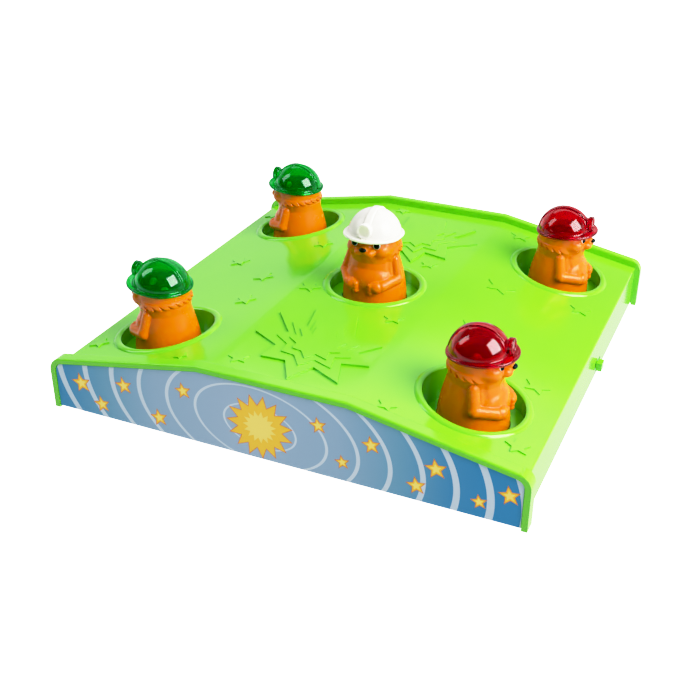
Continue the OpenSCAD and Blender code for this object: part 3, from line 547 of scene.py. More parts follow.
def star_row(tree, x, z, shift, low, high, seed):
    """How large the star of a column has to be to reach a place, and that star's own size."""
    calc = partial(math_node, tree)
    along = calc("DIVIDE", calc("ADD", x, shift), STAR_PITCH)
    column = calc("FLOOR", along)
    from_middle = calc("SUBTRACT", calc("FRACT", along), 0.5)
    aside = calc("MULTIPLY_ADD", random_value(tree, column, seed), 2 * STAR_ASIDE, -STAR_ASIDE)
    star_x = calc("MULTIPLY", calc("SUBTRACT", from_middle, aside), STAR_PITCH)
    middle_x = calc("MULTIPLY_ADD", calc("ADD", column, 0.5), STAR_PITCH, -shift)
    past = calc("SUBTRACT", calc("ABSOLUTE", middle_x), CROWN_HALF)
    past = calc("MAXIMUM", past, 0)
    top = calc("MULTIPLY_ADD", past, -WING_SLOPE, SHEET_CROWN)
    share = calc("MULTIPLY_ADD", random_value(tree, column, seed + 1), high - low, low)
    star_z = calc("SUBTRACT", z, calc("MULTIPLY", top, share))
    size = calc("MULTIPLY_ADD", random_value(tree, column, seed + 2), STAR_R_SPREAD, STAR_R)
    from_burst = calc("ABSOLUTE", calc("SUBTRACT", middle_x, RING_MIDDLE[0]))
    size = calc("MULTIPLY", size, calc("GREATER_THAN", from_burst, BURST_CLEAR))
    from_end = calc("SUBTRACT", SHEET_HALF, calc("ABSOLUTE", middle_x))
    size = calc("MULTIPLY", size, calc("GREATER_THAN", from_end, 0))
    return star_reach(tree, star_x, star_z, STAR_POINTS, STAR_WAIST, STAR_TURN), size


print("sheet half width:", SHEET_HALF)

# %% [markdown]
# The print is laid down from back to front: the blue ground as a ramp along X, a ring at each whole step of
# an oval distance, then the burst and two rows of stars. Each star is laid on three times, smaller every
# time, for its orange edge, its yellow and its pale heart.

# %% Label print
RING_TILT = math.radians(8)
RING_FLAT = 1.7
RING_STEP = 0.0165
RING_START = 0.2
RING_WIDTH = 0.02
RING_GROWTH = 0.013
RING_SHARE = 0.85
RING_PALE = (0.64, 0.70, 0.78)
BURST_POINTS = 15
BURST_WAIST = 0.68
PALE_X = -0.015
BLUES = [
    (0.0, (0.39, 0.47, 0.60)), (0.4, (0.33, 0.43, 0.57)), (0.65, (0.19, 0.335, 0.50)),
    (0.85, (0.09, 0.24, 0.475)), (1.0, (0.065, 0.225, 0.48)),
]
SUN_YELLOW = (0.90, 0.56, 0.035)
SUN_PALE = (0.95, 0.74, 0.16)
SUN_ORANGE = (0.66, 0.17, 0.012)
SUN_EDGE = 0.0009
HEART_SHARE = 0.5
STAR_ROWS = (
    {"shift": 0.012, "low": 0.24, "high": 0.36, "seed": 3},
    {"shift": 0.029, "low": 0.62, "high": 0.74, "seed": 11},
)
INK_SCALE = 150
INK_GLOSS = (0.34, 0.44)


def label_print():
    """The finish of the printed sheet."""
    made, tree, shader = new_material("label_print")
    calc = partial(math_node, tree)
    coordinates = tree.nodes.new("ShaderNodeTexCoord")
    place = tree.nodes.new("ShaderNodeSeparateXYZ")
    link(tree, coordinates, "Object", place, "Vector")
    x, z = (place, "X"), (place, "Z")
    from_pale = calc("ABSOLUTE", calc("SUBTRACT", x, PALE_X))
    away = calc("DIVIDE", from_pale, SHEET_HALF)
    ground = ramp_node(tree, away, BLUES)
    turned_place = tree.nodes.new("ShaderNodeMapping")
    turned_place.vector_type = "TEXTURE"
    turned_place.inputs["Location"].default_value = (RING_MIDDLE[0], 0, RING_MIDDLE[1])
    turned_place.inputs["Rotation"].default_value = (0, RING_TILT, 0)
    link(tree, coordinates, "Object", turned_place, "Vector")
    oval = tree.nodes.new("ShaderNodeSeparateXYZ")
    link(tree, turned_place, "Vector", oval, "Vector")
    tall = calc("MULTIPLY", (oval, "Z"), RING_FLAT)
    across = calc("POWER", (oval, "X"), 2)
    reach = calc("SQRT", calc("ADD", across, calc("POWER", tall, 2)))
    step = calc("DIVIDE", reach, RING_STEP)
    from_ring = calc("PINGPONG", calc("SUBTRACT", step, RING_START), 0.5)
    half_width = calc("MULTIPLY_ADD", step, RING_GROWTH, RING_WIDTH)
    ring = calc("LESS_THAN", from_ring, half_width)
    sky = blend_node(tree, calc("MULTIPLY", ring, RING_SHARE), (ground, "Color"), RING_PALE)
    burst = star_reach(tree, (oval, "X"), (oval, "Z"), BURST_POINTS, BURST_WAIST)
    layers = [(burst, BURST_R)] + [star_row(tree, x, z, **row) for row in STAR_ROWS]
    for needed, size in layers:
        sky = blend_node(tree, calc("LESS_THAN", needed, size), sky, SUN_ORANGE)
        inner = calc("SUBTRACT", size, SUN_EDGE)
        sky = blend_node(tree, calc("LESS_THAN", needed, inner), sky, SUN_YELLOW)
        heart = calc("MULTIPLY", size, HEART_SHARE)
        sky = blend_node(tree, calc("LESS_THAN", needed, heart), sky, SUN_PALE)
    feed(tree, sky, shader.inputs["Base Color"])
    uneven_gloss(tree, shader, noise_node(tree, coordinates, INK_SCALE), *INK_GLOSS)
    shader.inputs["Specular IOR Level"].default_value = 0.3
    return made


print_sheet = label_print()
print("label finish:", print_sheet.name, len(print_sheet.node_tree.nodes), "nodes")

# %% [markdown]
# ## Finishes on the CAD nodes
# A CAD node keeps its shape and gets its finish by a material on its object. The names of the nodes
# start with what they are, so one table of beginnings is enough.

# %% Assign finishes
FINISH = {
    "deck_shell": lime, "base_cover": lime, "battery_door": lime, "switch_knob": lime,
    "front_label": print_sheet, "mole_body": orange, "return_spring": steel, "guide_post": grey,
    "lamp": lens, "batteries": can_metal, "battery_contacts": steel, "feet": rubber,
    "main_board": board, "station_boards": board, "speaker": can_metal, "power_switch": black,
    "tact_switches": black, "wire_harness": sleeve, "cover_screws": steel, "post_screws": steel,
    "board_screws": steel, "battery_door_screw": steel,
    "helmet_front_left": green_hat, "helmet_back_left": green_hat, "helmet_middle": white_hat,
    "helmet_front_right": red_hat, "helmet_back_right": red_hat,
}


def finish_of(name):
    """The finish of a node, by the longest beginning that its name has."""
    starts = [s for s in FINISH if name.startswith(s)]
    return FINISH[max(starts, key=len)]


for name, node in nodes.items():
    node.data.materials.clear()
    node.data.materials.append(finish_of(name))
print("finished nodes:", len(nodes))

# %% [markdown]
# ## Soft edges on the deck
# A moulding has no knife edges: every step of the bursts, stars and rims ends in a small round that catches
# the light. The CAD deck is exact but sharp, so a copy of it gets those rounds. Its loose triangles are
# merged, flat ones are joined into single faces, and the sharp edges of the relief are bevelled. A weighted
# normal modifier then keeps the large faces flat in the gloss.

# %% Deck with soft edges
DECK_CROWN = 0.0417
RELIEF_HALF = (0.1255, 0.1185)
RELIEF_RANGE = (-0.0002, 0.0035)
ROUND_R = 0.00013
SHORTEST_EDGE = 2.4 * ROUND_R
SHARP_ANGLE = math.radians(28)
FLAT_ANGLE = math.radians(0.4)
MERGE_GAP = 1e-6


def on_relief(edge):
    """True where the middle of an edge is on the deck's top, between its lips and side walls."""
    middle = (edge.verts[0].co + edge.verts[1].co) / 2
    up = middle.z - DECK_CROWN + WING_SLOPE * max(0, abs(middle.x) - CROWN_HALF)
    inside = abs(middle.x) < RELIEF_HALF[0] and abs(middle.y) < RELIEF_HALF[1]
    return inside and RELIEF_RANGE[0] < up < RELIEF_RANGE[1]


def is_sharp(edge):
    """True where two faces meet at an angle above SHARP_ANGLE."""
    return len(edge.link_faces) == 2 and edge.calc_face_angle() > SHARP_ANGLE


def rounded_deck():
    """A copy of the deck with small rounds on its relief."""
    work = bmesh.new()
    work.from_mesh(nodes["deck_shell"].data)
    bmesh.ops.remove_doubles(work, verts=work.verts, dist=MERGE_GAP)
    bmesh.ops.dissolve_limit(
        work, angle_limit=FLAT_ANGLE, verts=work.verts, edges=work.edges, delimit=set(),
    )
    chosen = [e for e in work.edges if is_sharp(e) and on_relief(e) and e.calc_length() > SHORTEST_EDGE]
    bmesh.ops.bevel(
        work, geom=chosen, offset=ROUND_R, offset_type="OFFSET", segments=2, profile=0.5, affect="EDGES",
        clamp_overlap=False, miter_outer="ARC", loop_slide=True,
    )
    for edge in work.edges:
        edge.smooth = not is_sharp(edge)
    for face in work.faces:
        face.smooth = True
    mesh = bpy.data.meshes.new("deck")
    work.to_mesh(mesh)
    work.free()
    mesh.materials.append(lime)
    return mesh, len(chosen)


def baked_mesh(draft):
    """The plain mesh that an object's modifiers make. The object itself is removed."""
    evaluated = draft.evaluated_get(bpy.context.evaluated_depsgraph_get())
    mesh = bpy.data.meshes.new_from_object(evaluated)
    bpy.data.objects.remove(draft)
    return mesh


deck_mesh, round_edges = rounded_deck()
draft = add_object("deck_draft", deck_mesh)
even_gloss = draft.modifiers.new("even_gloss", "WEIGHTED_NORMAL")
even_gloss.keep_sharp = True
deck = add_object("deck", baked_mesh(draft))
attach(deck, "console")
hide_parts("deck_shell")
print("deck:", round_edges, "edges rounded,", len(deck.data.polygons), "faces")

# %% [markdown]
# ## Stations
# The five moles are alike, so each is shaped once in its own frame: the middle of the well's floor is
# the origin, the mole looks along X, and lengths are in millimetres. The guide posts and the moles of
# the CAD model say where the wells are, so the places here follow it.

# %% Stations
FACING = {"front_left": 180, "back_left": 180, "middle": -90, "front_right": 0, "back_right": 0}
SKIRT_DEPTH = 4.1


def station_frame(name):
    """The matrix that takes a mole's own frame, in millimetres, to its station."""
    low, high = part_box("guide_post_" + name)
    floor_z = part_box("mole_body_" + name)[0].z + SKIRT_DEPTH * MM
    place = Matrix.Translation(((low.x + high.x) / 2, (low.y + high.y) / 2, floor_z))
    return place @ Matrix.Rotation(math.radians(FACING[name]), 4, "Z") @ Matrix.Scale(MM, 4)


STATION = {name: station_frame(name) for name in FACING}
for name, placed in STATION.items():
    print(name, [round(v / MM, 2) for v in placed.translation])

# %% [markdown]
# ## Soft moulded shapes
# A mole has no sharp edges: the arms, cheeks and brows flow into the body. Such shapes are easy to
# write as distance fields, functions that say how far a point is from a surface, negative inside.
# Eggs and tapered limbs are the building blocks, and a soft minimum melts them together with a fillet.

# %% Blocks for soft shapes
TINY = 1e-6


def melt(a, b, soft):
    """Joins two shapes with a fillet of about that size."""
    share = np.clip(0.5 + 0.5 * (b - a) / soft, 0, 1)
    return b * (1 - share) + a * share - soft * share * (1 - share)


def carve(a, b, soft):
    """Cuts shape b out of shape a, and rounds the edge."""
    return -melt(-a, b, soft)


def egg(p, middle, radii):
    """An ellipsoid, near enough to a true distance for soft joins."""
    outer = np.sqrt(sum(((q - m) / r) ** 2 for q, m, r in zip(p, middle, radii)))
    slope = np.sqrt(sum(((q - m) / r ** 2) ** 2 for q, m, r in zip(p, middle, radii)))
    return outer * (outer - 1) / np.maximum(slope, TINY)


def limb(p, start, end, start_r, end_r):
    """A tapered capsule between two points."""
    along = np.array(end, float) - np.array(start, float)
    rel = [q - s for q, s in zip(p, start)]
    share = np.clip(sum(r * a for r, a in zip(rel, along)) / (along @ along), 0, 1)
    from_axis = np.sqrt(sum((r - share * a) ** 2 for r, a in zip(rel, along)))
    return from_axis - start_r - (end_r - start_r) * share


print("blocks: melt, carve, egg, limb")

# %% [markdown]
# A field becomes a mesh by surface nets. The field is sampled on a grid, each cell that the surface
# passes through gets one point, and each grid edge that it crosses gets a quad between the four cells
# round it. Blender's Remesh starts from a mesh and not from a formula, so the net is written out here.

# %% Surface net


def net_points(values):
    """One point, in cells, for each cell of a grid of values that the zero level passes through."""
    n = [s - 1 for s in values.shape]
    total = np.zeros((*n, 3))
    hits = np.zeros(n)
    for axis in range(3):
        for u, v in ((0, 0), (0, 1), (1, 0), (1, 1)):
            start = [u, v]
            start.insert(axis, 0)
            i, j, k = start
            a = values[i:i + n[0], j:j + n[1], k:k + n[2]]
            i, j, k = [c + (c_axis == axis) for c_axis, c in enumerate(start)]
            b = values[i:i + n[0], j:j + n[1], k:k + n[2]]
            cross = (a < 0) != (b < 0)
            share = a / np.where(cross, a - b, 1)
            for c in range(3):
                total[..., c] += np.where(cross, share if c == axis else start[c], 0)
            hits += cross
    live = hits > 0
    index = np.full(n, -1)
    index[live] = np.arange(live.sum())
    return np.argwhere(live) + total[live] / hits[live][:, None], index


def net_quads(values, index):
    """Quads round each grid edge that the zero level crosses, facing outwards."""
    inside = values < 0
    quads = []
    for axis in range(3):
        u, v = [c for c in range(3) if c != axis]
        here, there = [slice(1, -1)] * 3, [slice(1, -1)] * 3
        here[axis], there[axis] = slice(0, -1), slice(1, None)
        first, second = inside[tuple(here)], inside[tuple(there)]
        cells = np.argwhere(first != second)
        ring = []
        for du, dv in ((0, 0), (1, 0), (1, 1), (0, 1)):
            cell = cells.copy()
            cell[:, u] += du
            cell[:, v] += dv
            ring.append(index[tuple(cell.T)])
        quad = np.stack(ring, 1)
        turned_back = first[first != second] == (axis == 1)
        quad[turned_back] = quad[turned_back][:, ::-1]
        quads.append(quad)
    return np.concatenate(quads)


print("net: net_points, net_quads")

# %% [markdown]
# A net's points lie unevenly, and gloss shows that. So they are evened out by moving each one towards the
# mean of its neighbours, and pulled back onto the true surface along the slope of the field.

# %% Smooth net
PULLS = 2
PULL_STEP = 0.05
LEAST_SLOPE = 0.05


def pull_onto(field, points, reach):
    """Moves points along the field's slope onto its zero level, by no more than reach at a time."""
    for _ in range(PULLS):
        value = field(list(points.T))
        slope = np.stack([
            (field([points[:, j] + PULL_STEP * (j == k) for j in range(3)]) - value) / PULL_STEP
            for k in range(3)
        ], 1)
        along = np.clip(value / np.maximum((slope ** 2).sum(1), LEAST_SLOPE), -reach, reach)
        points = points - along[:, None] * slope
    return points


def net_mesh(field, low, high, cell, even_out=4):
    """Points and quads of the surface where a field is zero, in a box from low to high."""
    ticks = [np.arange(a, b + cell, cell) for a, b in zip(low, high)]
    values = field(np.meshgrid(*ticks, indexing="ij"))
    points, index = net_points(values)
    quads = net_quads(values, index)
    points = pull_onto(field, np.array(low) + cell * points, cell)
    edges = np.concatenate([quads[:, [k, (k + 1) % 4]] for k in range(4)])
    for _ in range(even_out):
        mean = np.zeros_like(points)
        count = np.zeros(len(points))
        np.add.at(mean, edges[:, 0], points[edges[:, 1]])
        np.add.at(count, edges[:, 0], 1)
        points = pull_onto(field, 0.5 * points + 0.5 * mean / count[:, None], cell)
    return points, quads.tolist()


print("smooth net:", PULLS, "pulls after each round")

# %% [markdown]
# ## A mole
# From the well's floor up: a bell-shaped body, a head with a fur ruff cut to points, cheeks, a snout
# with two whisker pads, brows, and arms bent over the belly with three fingers on each paw. The body
# is hollow, because the guide post, the spring and the lamp are inside. Everything is symmetrical, so
# the face and arms are written once on the sideways distance from the middle.

# %% Mole's body and head
MOLE_R = 18.2
NECK_R = 13.6
NECK_Z = 26.0
NECK_OVERLAP = 4
WALL_SLANT = 0.97
HEAD_X = 0.6
HEAD_Z = 34.0
HEAD_R = 14.1
HEAD_HALF = 8
HEAD_BARREL = 0.7
BARREL_HALF = 7
HEAD_ROUND = 0.97
RUFF_Z = 30.0
RUFF_R = 15.1
RUFF_EDGE = 1
RUFF_TAPER = 0.22
RUFF_TILT = 0.1
RUFF_POINTS = 22
SLIT_DEPTH = 3.0
SLIT_HALF = 0.24
SLIT_SLANT = 0.25
SLIT_EASE = 0.5
FRONT_X = 3
FRONT_RUN = 6
FRONT_IN = 1.3


def bell_r(z):
    """The radius of the bell-shaped body at a height."""
    return NECK_R + (MOLE_R - NECK_R) * np.cos(0.5 * math.pi * np.clip(z, 0, NECK_Z) / NECK_Z)


def torso(p):
    """Body, head and ruff. Slanted slits cut the ruff's lower edge to points."""
    x, y, z = p
    body = np.maximum((np.hypot(x, y) - bell_r(z)) * WALL_SLANT, z - NECK_Z - NECK_OVERLAP)
    head_r = np.hypot(x - HEAD_X, HEAD_ROUND * y)
    barrel = head_r - HEAD_R + HEAD_BARREL * ((z - HEAD_Z) / BARREL_HALF) ** 2
    head = np.maximum(barrel, np.abs(z - HEAD_Z) - HEAD_HALF)
    in_front = np.clip((x - FRONT_X) / FRONT_RUN, 0, 1)
    ruff_low = RUFF_Z - RUFF_TILT * x
    turn = np.arctan2(y, x - HEAD_X) * RUFF_POINTS / (2 * math.pi) + SLIT_SLANT * (z - ruff_low)
    slit = np.clip(1 - np.abs(turn % 1.0 - 0.5) / SLIT_HALF, 0, 1)
    edge = ruff_low + SLIT_DEPTH * slit * (1 - in_front)
    ruff_r = RUFF_R - FRONT_IN * in_front - RUFF_TAPER * np.maximum(z - ruff_low - RUFF_EDGE, 0)
    ruff = np.maximum(head_r - ruff_r, (edge - z) * SLIT_EASE)
    ruff = np.maximum(ruff, z - HEAD_Z)
    return melt(melt(body, head, soft=0.6), ruff, soft=0.25)


print("head:", HEAD_R, "mm round, ruff:", RUFF_POINTS, "points")

# %% [markdown]
# The face and the arms are eggs and limbs. An egg is written as its middle and its three radii, and a limb
# as its two ends and the radius at each.

# %% Mole's face and arms
CHEEK = ((8.8, 7.2, 33.4), (6.2, 5.6, 4.6))
SNOUT = ((9.0, 0, 35.8), (16.6, 0, 34.8), 4.4, 2.5)
WHISKER_PAD = ((15.0, 2.9, 33.0), (3.7, 3.3, 2.5))
CHIN = ((11.2, 0, 30.0), (3.6, 5.0, 2.4))
BROW = ((11.4, 6.0, 36.4), (3.4, 3.7, 3.3))
MOUTH = ((16.4, 0, 31.9), (12.6, 5.6, 31.0), 0.35, 0.5)
ARM_GROOVE = ((8.6, 12.2, 26.0), (10.8, 13.2, 18.6), 1.5, 1.9)
BELLY = ((6.5, 0, 13.5), (11.0, 14.2, 13.0))
ELBOW = (5.0, 15.8, 15.6)
UPPER_ARM = ((3.2, 13.2, 26.0), ELBOW, 2.6, 2.9)
LOWER_ARM = (ELBOW, (14.0, 9.9, 13.4), 3.0, 3.2)
PAW = ((15.6, 7.2, 12.9), (3.5, 3.9, 3.7))
FINGERS = [((16.0, 6.6, 12.9 + 2.1 * k), (17.6, 4.4, 12.1 + 2.0 * k), 1.7, 1.5) for k in (-1, 0, 1)]


def add_face(shape, q):
    """Cheeks, snout with whisker pads, chin and brows, and the line of the mouth."""
    shape = melt(shape, egg(q, *CHEEK), soft=1.4)
    shape = melt(shape, limb(q, *SNOUT), soft=1.6)
    shape = melt(shape, egg(q, *WHISKER_PAD), soft=0.8)
    shape = melt(shape, egg(q, *CHIN), soft=1.2)
    shape = melt(shape, egg(q, *BROW), soft=0.3)
    return carve(shape, limb(q, *MOUTH), soft=0.5)


def add_arms(shape, q):
    """A round belly, and arms bent round it with a groove beside the chest."""
    shape = carve(shape, limb(q, *ARM_GROOVE), soft=1.0)
    shape = melt(shape, egg(q, *BELLY), soft=0.25)
    arm = melt(limb(q, *UPPER_ARM), limb(q, *LOWER_ARM), soft=0.8)
    paw = egg(q, *PAW)
    for finger in FINGERS:
        paw = melt(paw, limb(q, *finger), soft=0.5)
    return melt(melt(shape, arm, soft=0.4), paw, soft=0.4)


print("fingers on each paw:", len(FINGERS))

# %% [markdown]
# The whole mole is cut off under its hat, where a collar stands up into it. A flange goes round its foot:
# it is the stop under the well's floor. Three hollows make room for what is inside.

# %% Whole mole
SHELL_T = 1.8
HAT_X = 1.1
HAT_Z = 39.5
HAT_TILT = math.radians(3.7)
BRIM_T = 1.4
HAT_GAP = 0.3
COLLAR_R = 11.9
COLLAR_T = 0.9
COLLAR_UP = 0.4
COLLAR_HALF = 2.4
FLANGE_OUT = 2.4
FLANGE_DROP = 3.2
FLANGE_HALF = 0.9
THROAT_Z = 31
THROAT_HALF = 6
MOLE_BOX = ((-22, -22, -5), (23, 22, 43))
MOLE_CELL = 0.42


def in_hat(p):
    """A point in the hat's frame, whose origin is the middle of the brim's underside."""
    x, z = p[0] - HAT_X, p[2] - HAT_Z
    return (
        x * math.cos(HAT_TILT) + z * math.sin(HAT_TILT), p[1],
        z * math.cos(HAT_TILT) - x * math.sin(HAT_TILT) + BRIM_T / 2,
    )


def mole_field(p):
    """The distance from a mole's surface, in its own frame."""
    x, y, z = p
    q = (x, np.abs(y), z)
    r = np.hypot(x, y)
    shape = add_arms(add_face(torso(p), q), q)
    hat_x, hat_y, hat_up = in_hat(p)
    hat_r = np.hypot(hat_x, hat_y)
    shape = np.maximum(shape, hat_up + HAT_GAP)
    collar = np.maximum(hat_r - COLLAR_R, np.abs(hat_up - COLLAR_UP) - COLLAR_HALF)
    shape = np.minimum(shape, collar)
    shape = np.maximum(shape, -SKIRT_DEPTH - z)
    flange = np.maximum(r - MOLE_R - FLANGE_OUT, np.abs(z + FLANGE_DROP) - FLANGE_HALF)
    shape = np.minimum(shape, flange)
    hollow = np.maximum((r - bell_r(z) + SHELL_T) * WALL_SLANT, z - NECK_Z)
    throat_r = np.hypot(x - HEAD_X, y)
    throat = np.maximum(throat_r - NECK_R + SHELL_T, np.abs(z - THROAT_Z) - THROAT_HALF)
    bore = np.maximum(hat_r - COLLAR_R + COLLAR_T, np.abs(hat_up) - THROAT_HALF)
    return np.maximum(shape, -np.minimum(np.minimum(hollow, throat), bore))


mole_points, mole_quads = net_mesh(mole_field, *MOLE_BOX, MOLE_CELL)
print("mole:", len(mole_points), "points,", len(mole_quads), "quads")

# %% [markdown]
# One mesh serves for all five moles. A station's matrix takes its points to their place, so the place is in
# the mesh and every object sits at the origin. Each mole rides on its own body, and stands for the plainer
# mole of the CAD model.

# %% Put the moles in their wells


def add_piece(name, points, faces, placed, *finishes):
    """A smooth mesh piece whose points are given in a frame, put in place by a matrix."""
    mesh = bpy.data.meshes.new(name)
    mesh.from_pydata([placed @ Vector(p) for p in points], [], faces)
    for finish in finishes:
        mesh.materials.append(finish)
    mesh.shade_smooth()
    return add_object(name, mesh)


for name, placed in STATION.items():
    mole = add_piece("mole_" + name, mole_points, mole_quads, placed, orange)
    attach(mole, "mole_" + name)
    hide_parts("mole_body_" + name)
print("moles:", len(STATION))

# %% [markdown]
# ## Eyes and noses
# The eyes and the nose are painted on the toy's moulded bumps. Each is a small egg set into the face:
# a white eye, a black pupil a little further out, and a black nose on the tip of the snout.

# %% Eyes and noses
EYE = ((12.2, 6.2, 36.7), (2.8, 2.9, 2.7))
PUPIL = ((13.7, 6.5, 37.0), (1.75, 1.85, 1.75))
NOSE = ((18.4, 0, 35.3), (1.6, 2.1, 1.25))
white_paint = moulded_plastic("white_paint", (0.88, 0.88, 0.86), gloss=(0.12, 0.2))
black_paint = moulded_plastic("black_paint", (0.012, 0.006, 0.006), gloss=(0.1, 0.18), specular=0.1)


def egg_mesh(middle, radii, rings=16, around=32):
    """Points and faces of an egg, with one point at each pole."""
    points = [(0, 0, -1)]
    for i in range(1, rings):
        tilt = math.pi * i / rings - math.pi / 2
        for k in range(around):
            turn = 2 * math.pi * k / around
            points.append((math.cos(tilt) * math.cos(turn), math.cos(tilt) * math.sin(turn), math.sin(tilt)))
    points.append((0, 0, 1))
    top = len(points) - 1
    ring = [[1 + i * around + k % around for k in range(around + 1)] for i in range(rings - 1)]
    faces = [(0, ring[0][k + 1], ring[0][k]) for k in range(around)]
    faces += [(top, ring[-1][k], ring[-1][k + 1]) for k in range(around)]
    for low, high in zip(ring, ring[1:]):
        faces += [(low[k], low[k + 1], high[k + 1], high[k]) for k in range(around)]
    return np.array(points) * radii + np.array(middle), faces


def face_paint(name, placed):
    """One piece with both eyes, both pupils and the nose."""
    points, faces, finishes = [], [], []
    white, dark = 0, 1
    eggs = [(EYE, 1, white), (EYE, -1, white), (PUPIL, 1, dark), (PUPIL, -1, dark), (NOSE, 1, dark)]
    for (middle, radii), side, finish in eggs:
        more, more_faces = egg_mesh((middle[0], side * middle[1], middle[2]), radii)
        faces += [tuple(len(points) + k for k in f) for f in more_faces]
        finishes += [finish] * len(more_faces)
        points += more.tolist()
    made = add_piece(name, points, faces, placed, white_paint, black_paint)
    made.data.polygons.foreach_set("material_index", finishes)
    return made


for name, placed in STATION.items():
    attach(face_paint("face_" + name, placed), "mole_" + name)
print("faces:", len(STATION))

# %% [markdown]
# ## Hard hats
# A hat is a dome with a brim that ends in a bead and stands out as a visor in front, a ridge over the top,
# and a lamp housing above the visor: a neck with a wider ring round its glass. It has a true wall, because
# light goes through it.

# %% Hat shape
DOME_R = 15.1
DOME_DROP = 0.6
HAT_T = 1.6
BRIM_R = 16.4
BRIM_HALF = 0.75
BRIM_FROM = 11
VISOR = 3.1
BEAD_R = 0.85
RIDGE_W = 4.8
RIDGE_H = 0.7
RIDGE_FROM = 2
RIDGE_TAPER = 0.03
SEAT_TOP = 1.3
SEAT_OVERLAP = 0.2
SEAT_GAP = 0.15
HAT_LAMP_Z = 5.8
HAT_LAMP_R = 4.2
HAT_LAMP_X = 16.9
LAMP_NECK_X = 12.0
LAMP_NECK_HALF = 4.2
LAMP_NECK_IN = 0.9
LAMP_RING_HALF = 1.4
GLASS_IN = 1.0
GLASS_DEPTH = 0.5
HAT_BOX = ((-18, -18, -1), (21, 18, 17))
HAT_CELL = 0.36


def hat_field(p):
    """The distance from a hat's surface, in the hat's frame."""
    x, y, z = p
    from_middle = np.sqrt(x ** 2 + y ** 2 + (z + DOME_DROP) ** 2)
    r = np.hypot(x - np.clip(x, 0, VISOR), y)
    dome = np.maximum(from_middle - DOME_R, -z)
    brim = np.hypot(np.maximum(r - BRIM_R + BEAD_R, 0), z - BRIM_HALF) - BRIM_HALF
    bead = np.hypot(r - BRIM_R + BEAD_R, z - BEAD_R) - BEAD_R
    shape = melt(melt(dome, np.maximum(brim, BRIM_FROM - r), soft=0.9), bead, soft=0.4)
    ridge = np.maximum(from_middle - DOME_R - RIDGE_H, np.abs(y) - RIDGE_W / 2 + RIDGE_TAPER * z)
    shape = melt(shape, np.maximum(ridge, RIDGE_FROM - z), soft=0.2)
    from_lamp = np.hypot(y, z - HAT_LAMP_Z)
    neck = np.maximum(from_lamp - HAT_LAMP_R + LAMP_NECK_IN, np.abs(x - LAMP_NECK_X) - LAMP_NECK_HALF)
    ring = np.maximum(from_lamp - HAT_LAMP_R, np.abs(x - HAT_LAMP_X + LAMP_RING_HALF) - LAMP_RING_HALF)
    shape = melt(melt(shape, neck, soft=0.7), ring, soft=0.35)
    glass = np.maximum(from_lamp - HAT_LAMP_R + GLASS_IN, HAT_LAMP_X - GLASS_DEPTH - x)
    shape = carve(shape, glass, soft=0.25)
    inner = np.maximum(from_middle - DOME_R + HAT_T, SEAT_TOP - SEAT_OVERLAP - z)
    seat = np.maximum(np.hypot(x, y) - COLLAR_R - SEAT_GAP, z - SEAT_TOP)
    return np.maximum(shape, -np.minimum(inner, seat))


hat_points, hat_quads = net_mesh(hat_field, *HAT_BOX, HAT_CELL)
hat_frame = Matrix.Translation((HAT_X, 0, HAT_Z)) @ Matrix.Rotation(-HAT_TILT, 4, "Y")
hat_frame = hat_frame @ Matrix.Translation((0, 0, -BRIM_T / 2))
print("hat:", len(hat_points), "points,", len(hat_quads), "quads")

# %% [markdown]
# A hat sits on its mole's head, tilted a little. Its matrix is the station's, followed by the hat's own. It
# rides on the mole's body, and has the colour of the CAD hat that it stands for.

# %% Put the hats on
for name, placed in STATION.items():
    finish = finish_of("helmet_" + name)
    hat = add_piece("hat_" + name, hat_points, hat_quads, placed @ hat_frame, finish)
    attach(hat, "mole_" + name)
    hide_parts("helmet_" + name)
print("hats on:", len(STATION))

# %% [markdown]
# ## Springs
# A spring is a round wire that follows a helix, a path with a rule, so Geometry Nodes make it. A straight
# line is cut into many points, each point is turned about the axis by its share of all the turns, and the
# line becomes a wire. The height eases in and out at both ends, which closes the end coils as on a real
# compression spring. The sizes are named inputs of the tree.

# %% Spring tree
SPRING_SIZES = {"Coil radius": 0.005, "Wire radius": 0.0005, "Height": 0.02, "Turns": 6.0, "End coils": 0.7}
WIRE_POINTS = 260
WIRE_SIDES = 10


def add_input(tree, name, value):
    """Adds a size to a tree's inputs, and gives its identifier."""
    made = tree.interface.new_socket(name=name, in_out="INPUT", socket_type="NodeSocketFloat")
    made.default_value = value
    return made.identifier


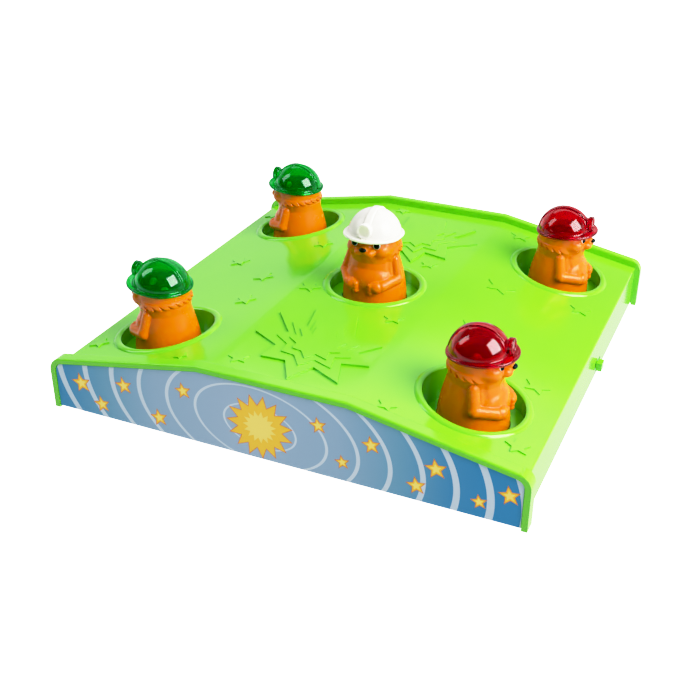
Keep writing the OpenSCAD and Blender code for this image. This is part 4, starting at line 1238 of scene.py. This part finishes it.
def spring_tree():
    """A tree that turns into a helical wire, and the identifiers of its inputs by name."""
    tree = bpy.data.node_groups.new("spring_wire", "GeometryNodeTree")
    calc = partial(math_node, tree)
    sizes = {name: add_input(tree, name, value) for name, value in SPRING_SIZES.items()}
    tree.interface.new_socket(name="Wire", in_out="OUTPUT", socket_type="NodeSocketGeometry")
    group_in = tree.nodes.new("NodeGroupInput")
    line = tree.nodes.new("GeometryNodeCurvePrimitiveLine")
    cut = tree.nodes.new("GeometryNodeResampleCurve")
    cut.inputs["Count"].default_value = WIRE_POINTS
    link(tree, line, "Curve", cut, "Curve")
    share = tree.nodes.new("GeometryNodeSplineParameter")
    turn = calc("MULTIPLY", (group_in, "Turns"), 2 * math.pi)
    angle = calc("MULTIPLY", (share, "Factor"), turn)
    place = tree.nodes.new("ShaderNodeCombineXYZ")
    for axis, wave in (("X", "COSINE"), ("Y", "SINE")):
        side = calc("MULTIPLY", calc(wave, angle), (group_in, "Coil radius"))
        feed(tree, side, place.inputs[axis])
    whole_turn = calc("MULTIPLY", (share, "Factor"), 2 * math.pi)
    ease = calc("MULTIPLY", calc("SINE", whole_turn), (group_in, "End coils"))
    ease = calc("DIVIDE", ease, 2 * math.pi)
    climb = calc("SUBTRACT", (share, "Factor"), ease)
    up = calc("MULTIPLY", climb, (group_in, "Height"))
    feed(tree, up, place.inputs["Z"])
    bend = tree.nodes.new("GeometryNodeSetPosition")
    link(tree, cut, "Curve", bend, "Geometry")
    link(tree, place, "Vector", bend, "Position")
    ring = tree.nodes.new("GeometryNodeCurvePrimitiveCircle")
    ring.inputs["Resolution"].default_value = WIRE_SIDES
    link(tree, group_in, "Wire radius", ring, "Radius")
    wire = tree.nodes.new("GeometryNodeCurveToMesh")
    wire.inputs["Fill Caps"].default_value = True
    link(tree, bend, "Geometry", wire, "Curve")
    link(tree, ring, "Curve", wire, "Profile Curve")
    real = tree.nodes.new("GeometryNodeRealizeInstances")
    link(tree, wire, "Mesh", real, "Geometry")
    paint = tree.nodes.new("GeometryNodeSetMaterial")
    paint.inputs["Material"].default_value = steel
    link(tree, real, "Geometry", paint, "Geometry")
    group_out = tree.nodes.new("NodeGroupOutput")
    link(tree, paint, "Geometry", group_out, "Wire")
    return tree, sizes


wire_tree, wire_sizes = spring_tree()
print("spring inputs:", list(wire_sizes))

# %% [markdown]
# Each spring stands on the console under its mole, so it rides on the console.

# %% Put the springs in
WIRE_R = 0.0005
SPRING_TURNS = 6.5


def grown_mesh(name, tree, values):
    """The plain mesh that a tree makes with these values by identifier."""
    seed = add_object(name, bpy.data.meshes.new(name))
    grow = seed.modifiers.new("grow", "NODES")
    grow.node_group = tree
    for identifier, value in values.items():
        grow[identifier] = value
    return baked_mesh(seed)


for name in STATION:
    low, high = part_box("return_spring_" + name)
    height = high.z - low.z
    coil_r = (high.x - low.x) / 2 - WIRE_R
    values = {
        "Coil radius": coil_r, "Wire radius": WIRE_R, "Height": height - 2 * WIRE_R, "Turns": SPRING_TURNS,
    }
    mesh = grown_mesh("spring_" + name, wire_tree, {wire_sizes[k]: v for k, v in values.items()})
    foot = Vector(((low.x + high.x) / 2, (low.y + high.y) / 2, low.z))
    mesh.transform(Matrix.Translation(foot + Vector((0, 0, WIRE_R))))
    mesh.shade_smooth()
    spring = add_object("spring_" + name, mesh)
    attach(spring, "console")
    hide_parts("return_spring_" + name)
    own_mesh(spring)
print("springs:", len(STATION), "height in mm:", round(height / MM, 1), "turns:", SPRING_TURNS)
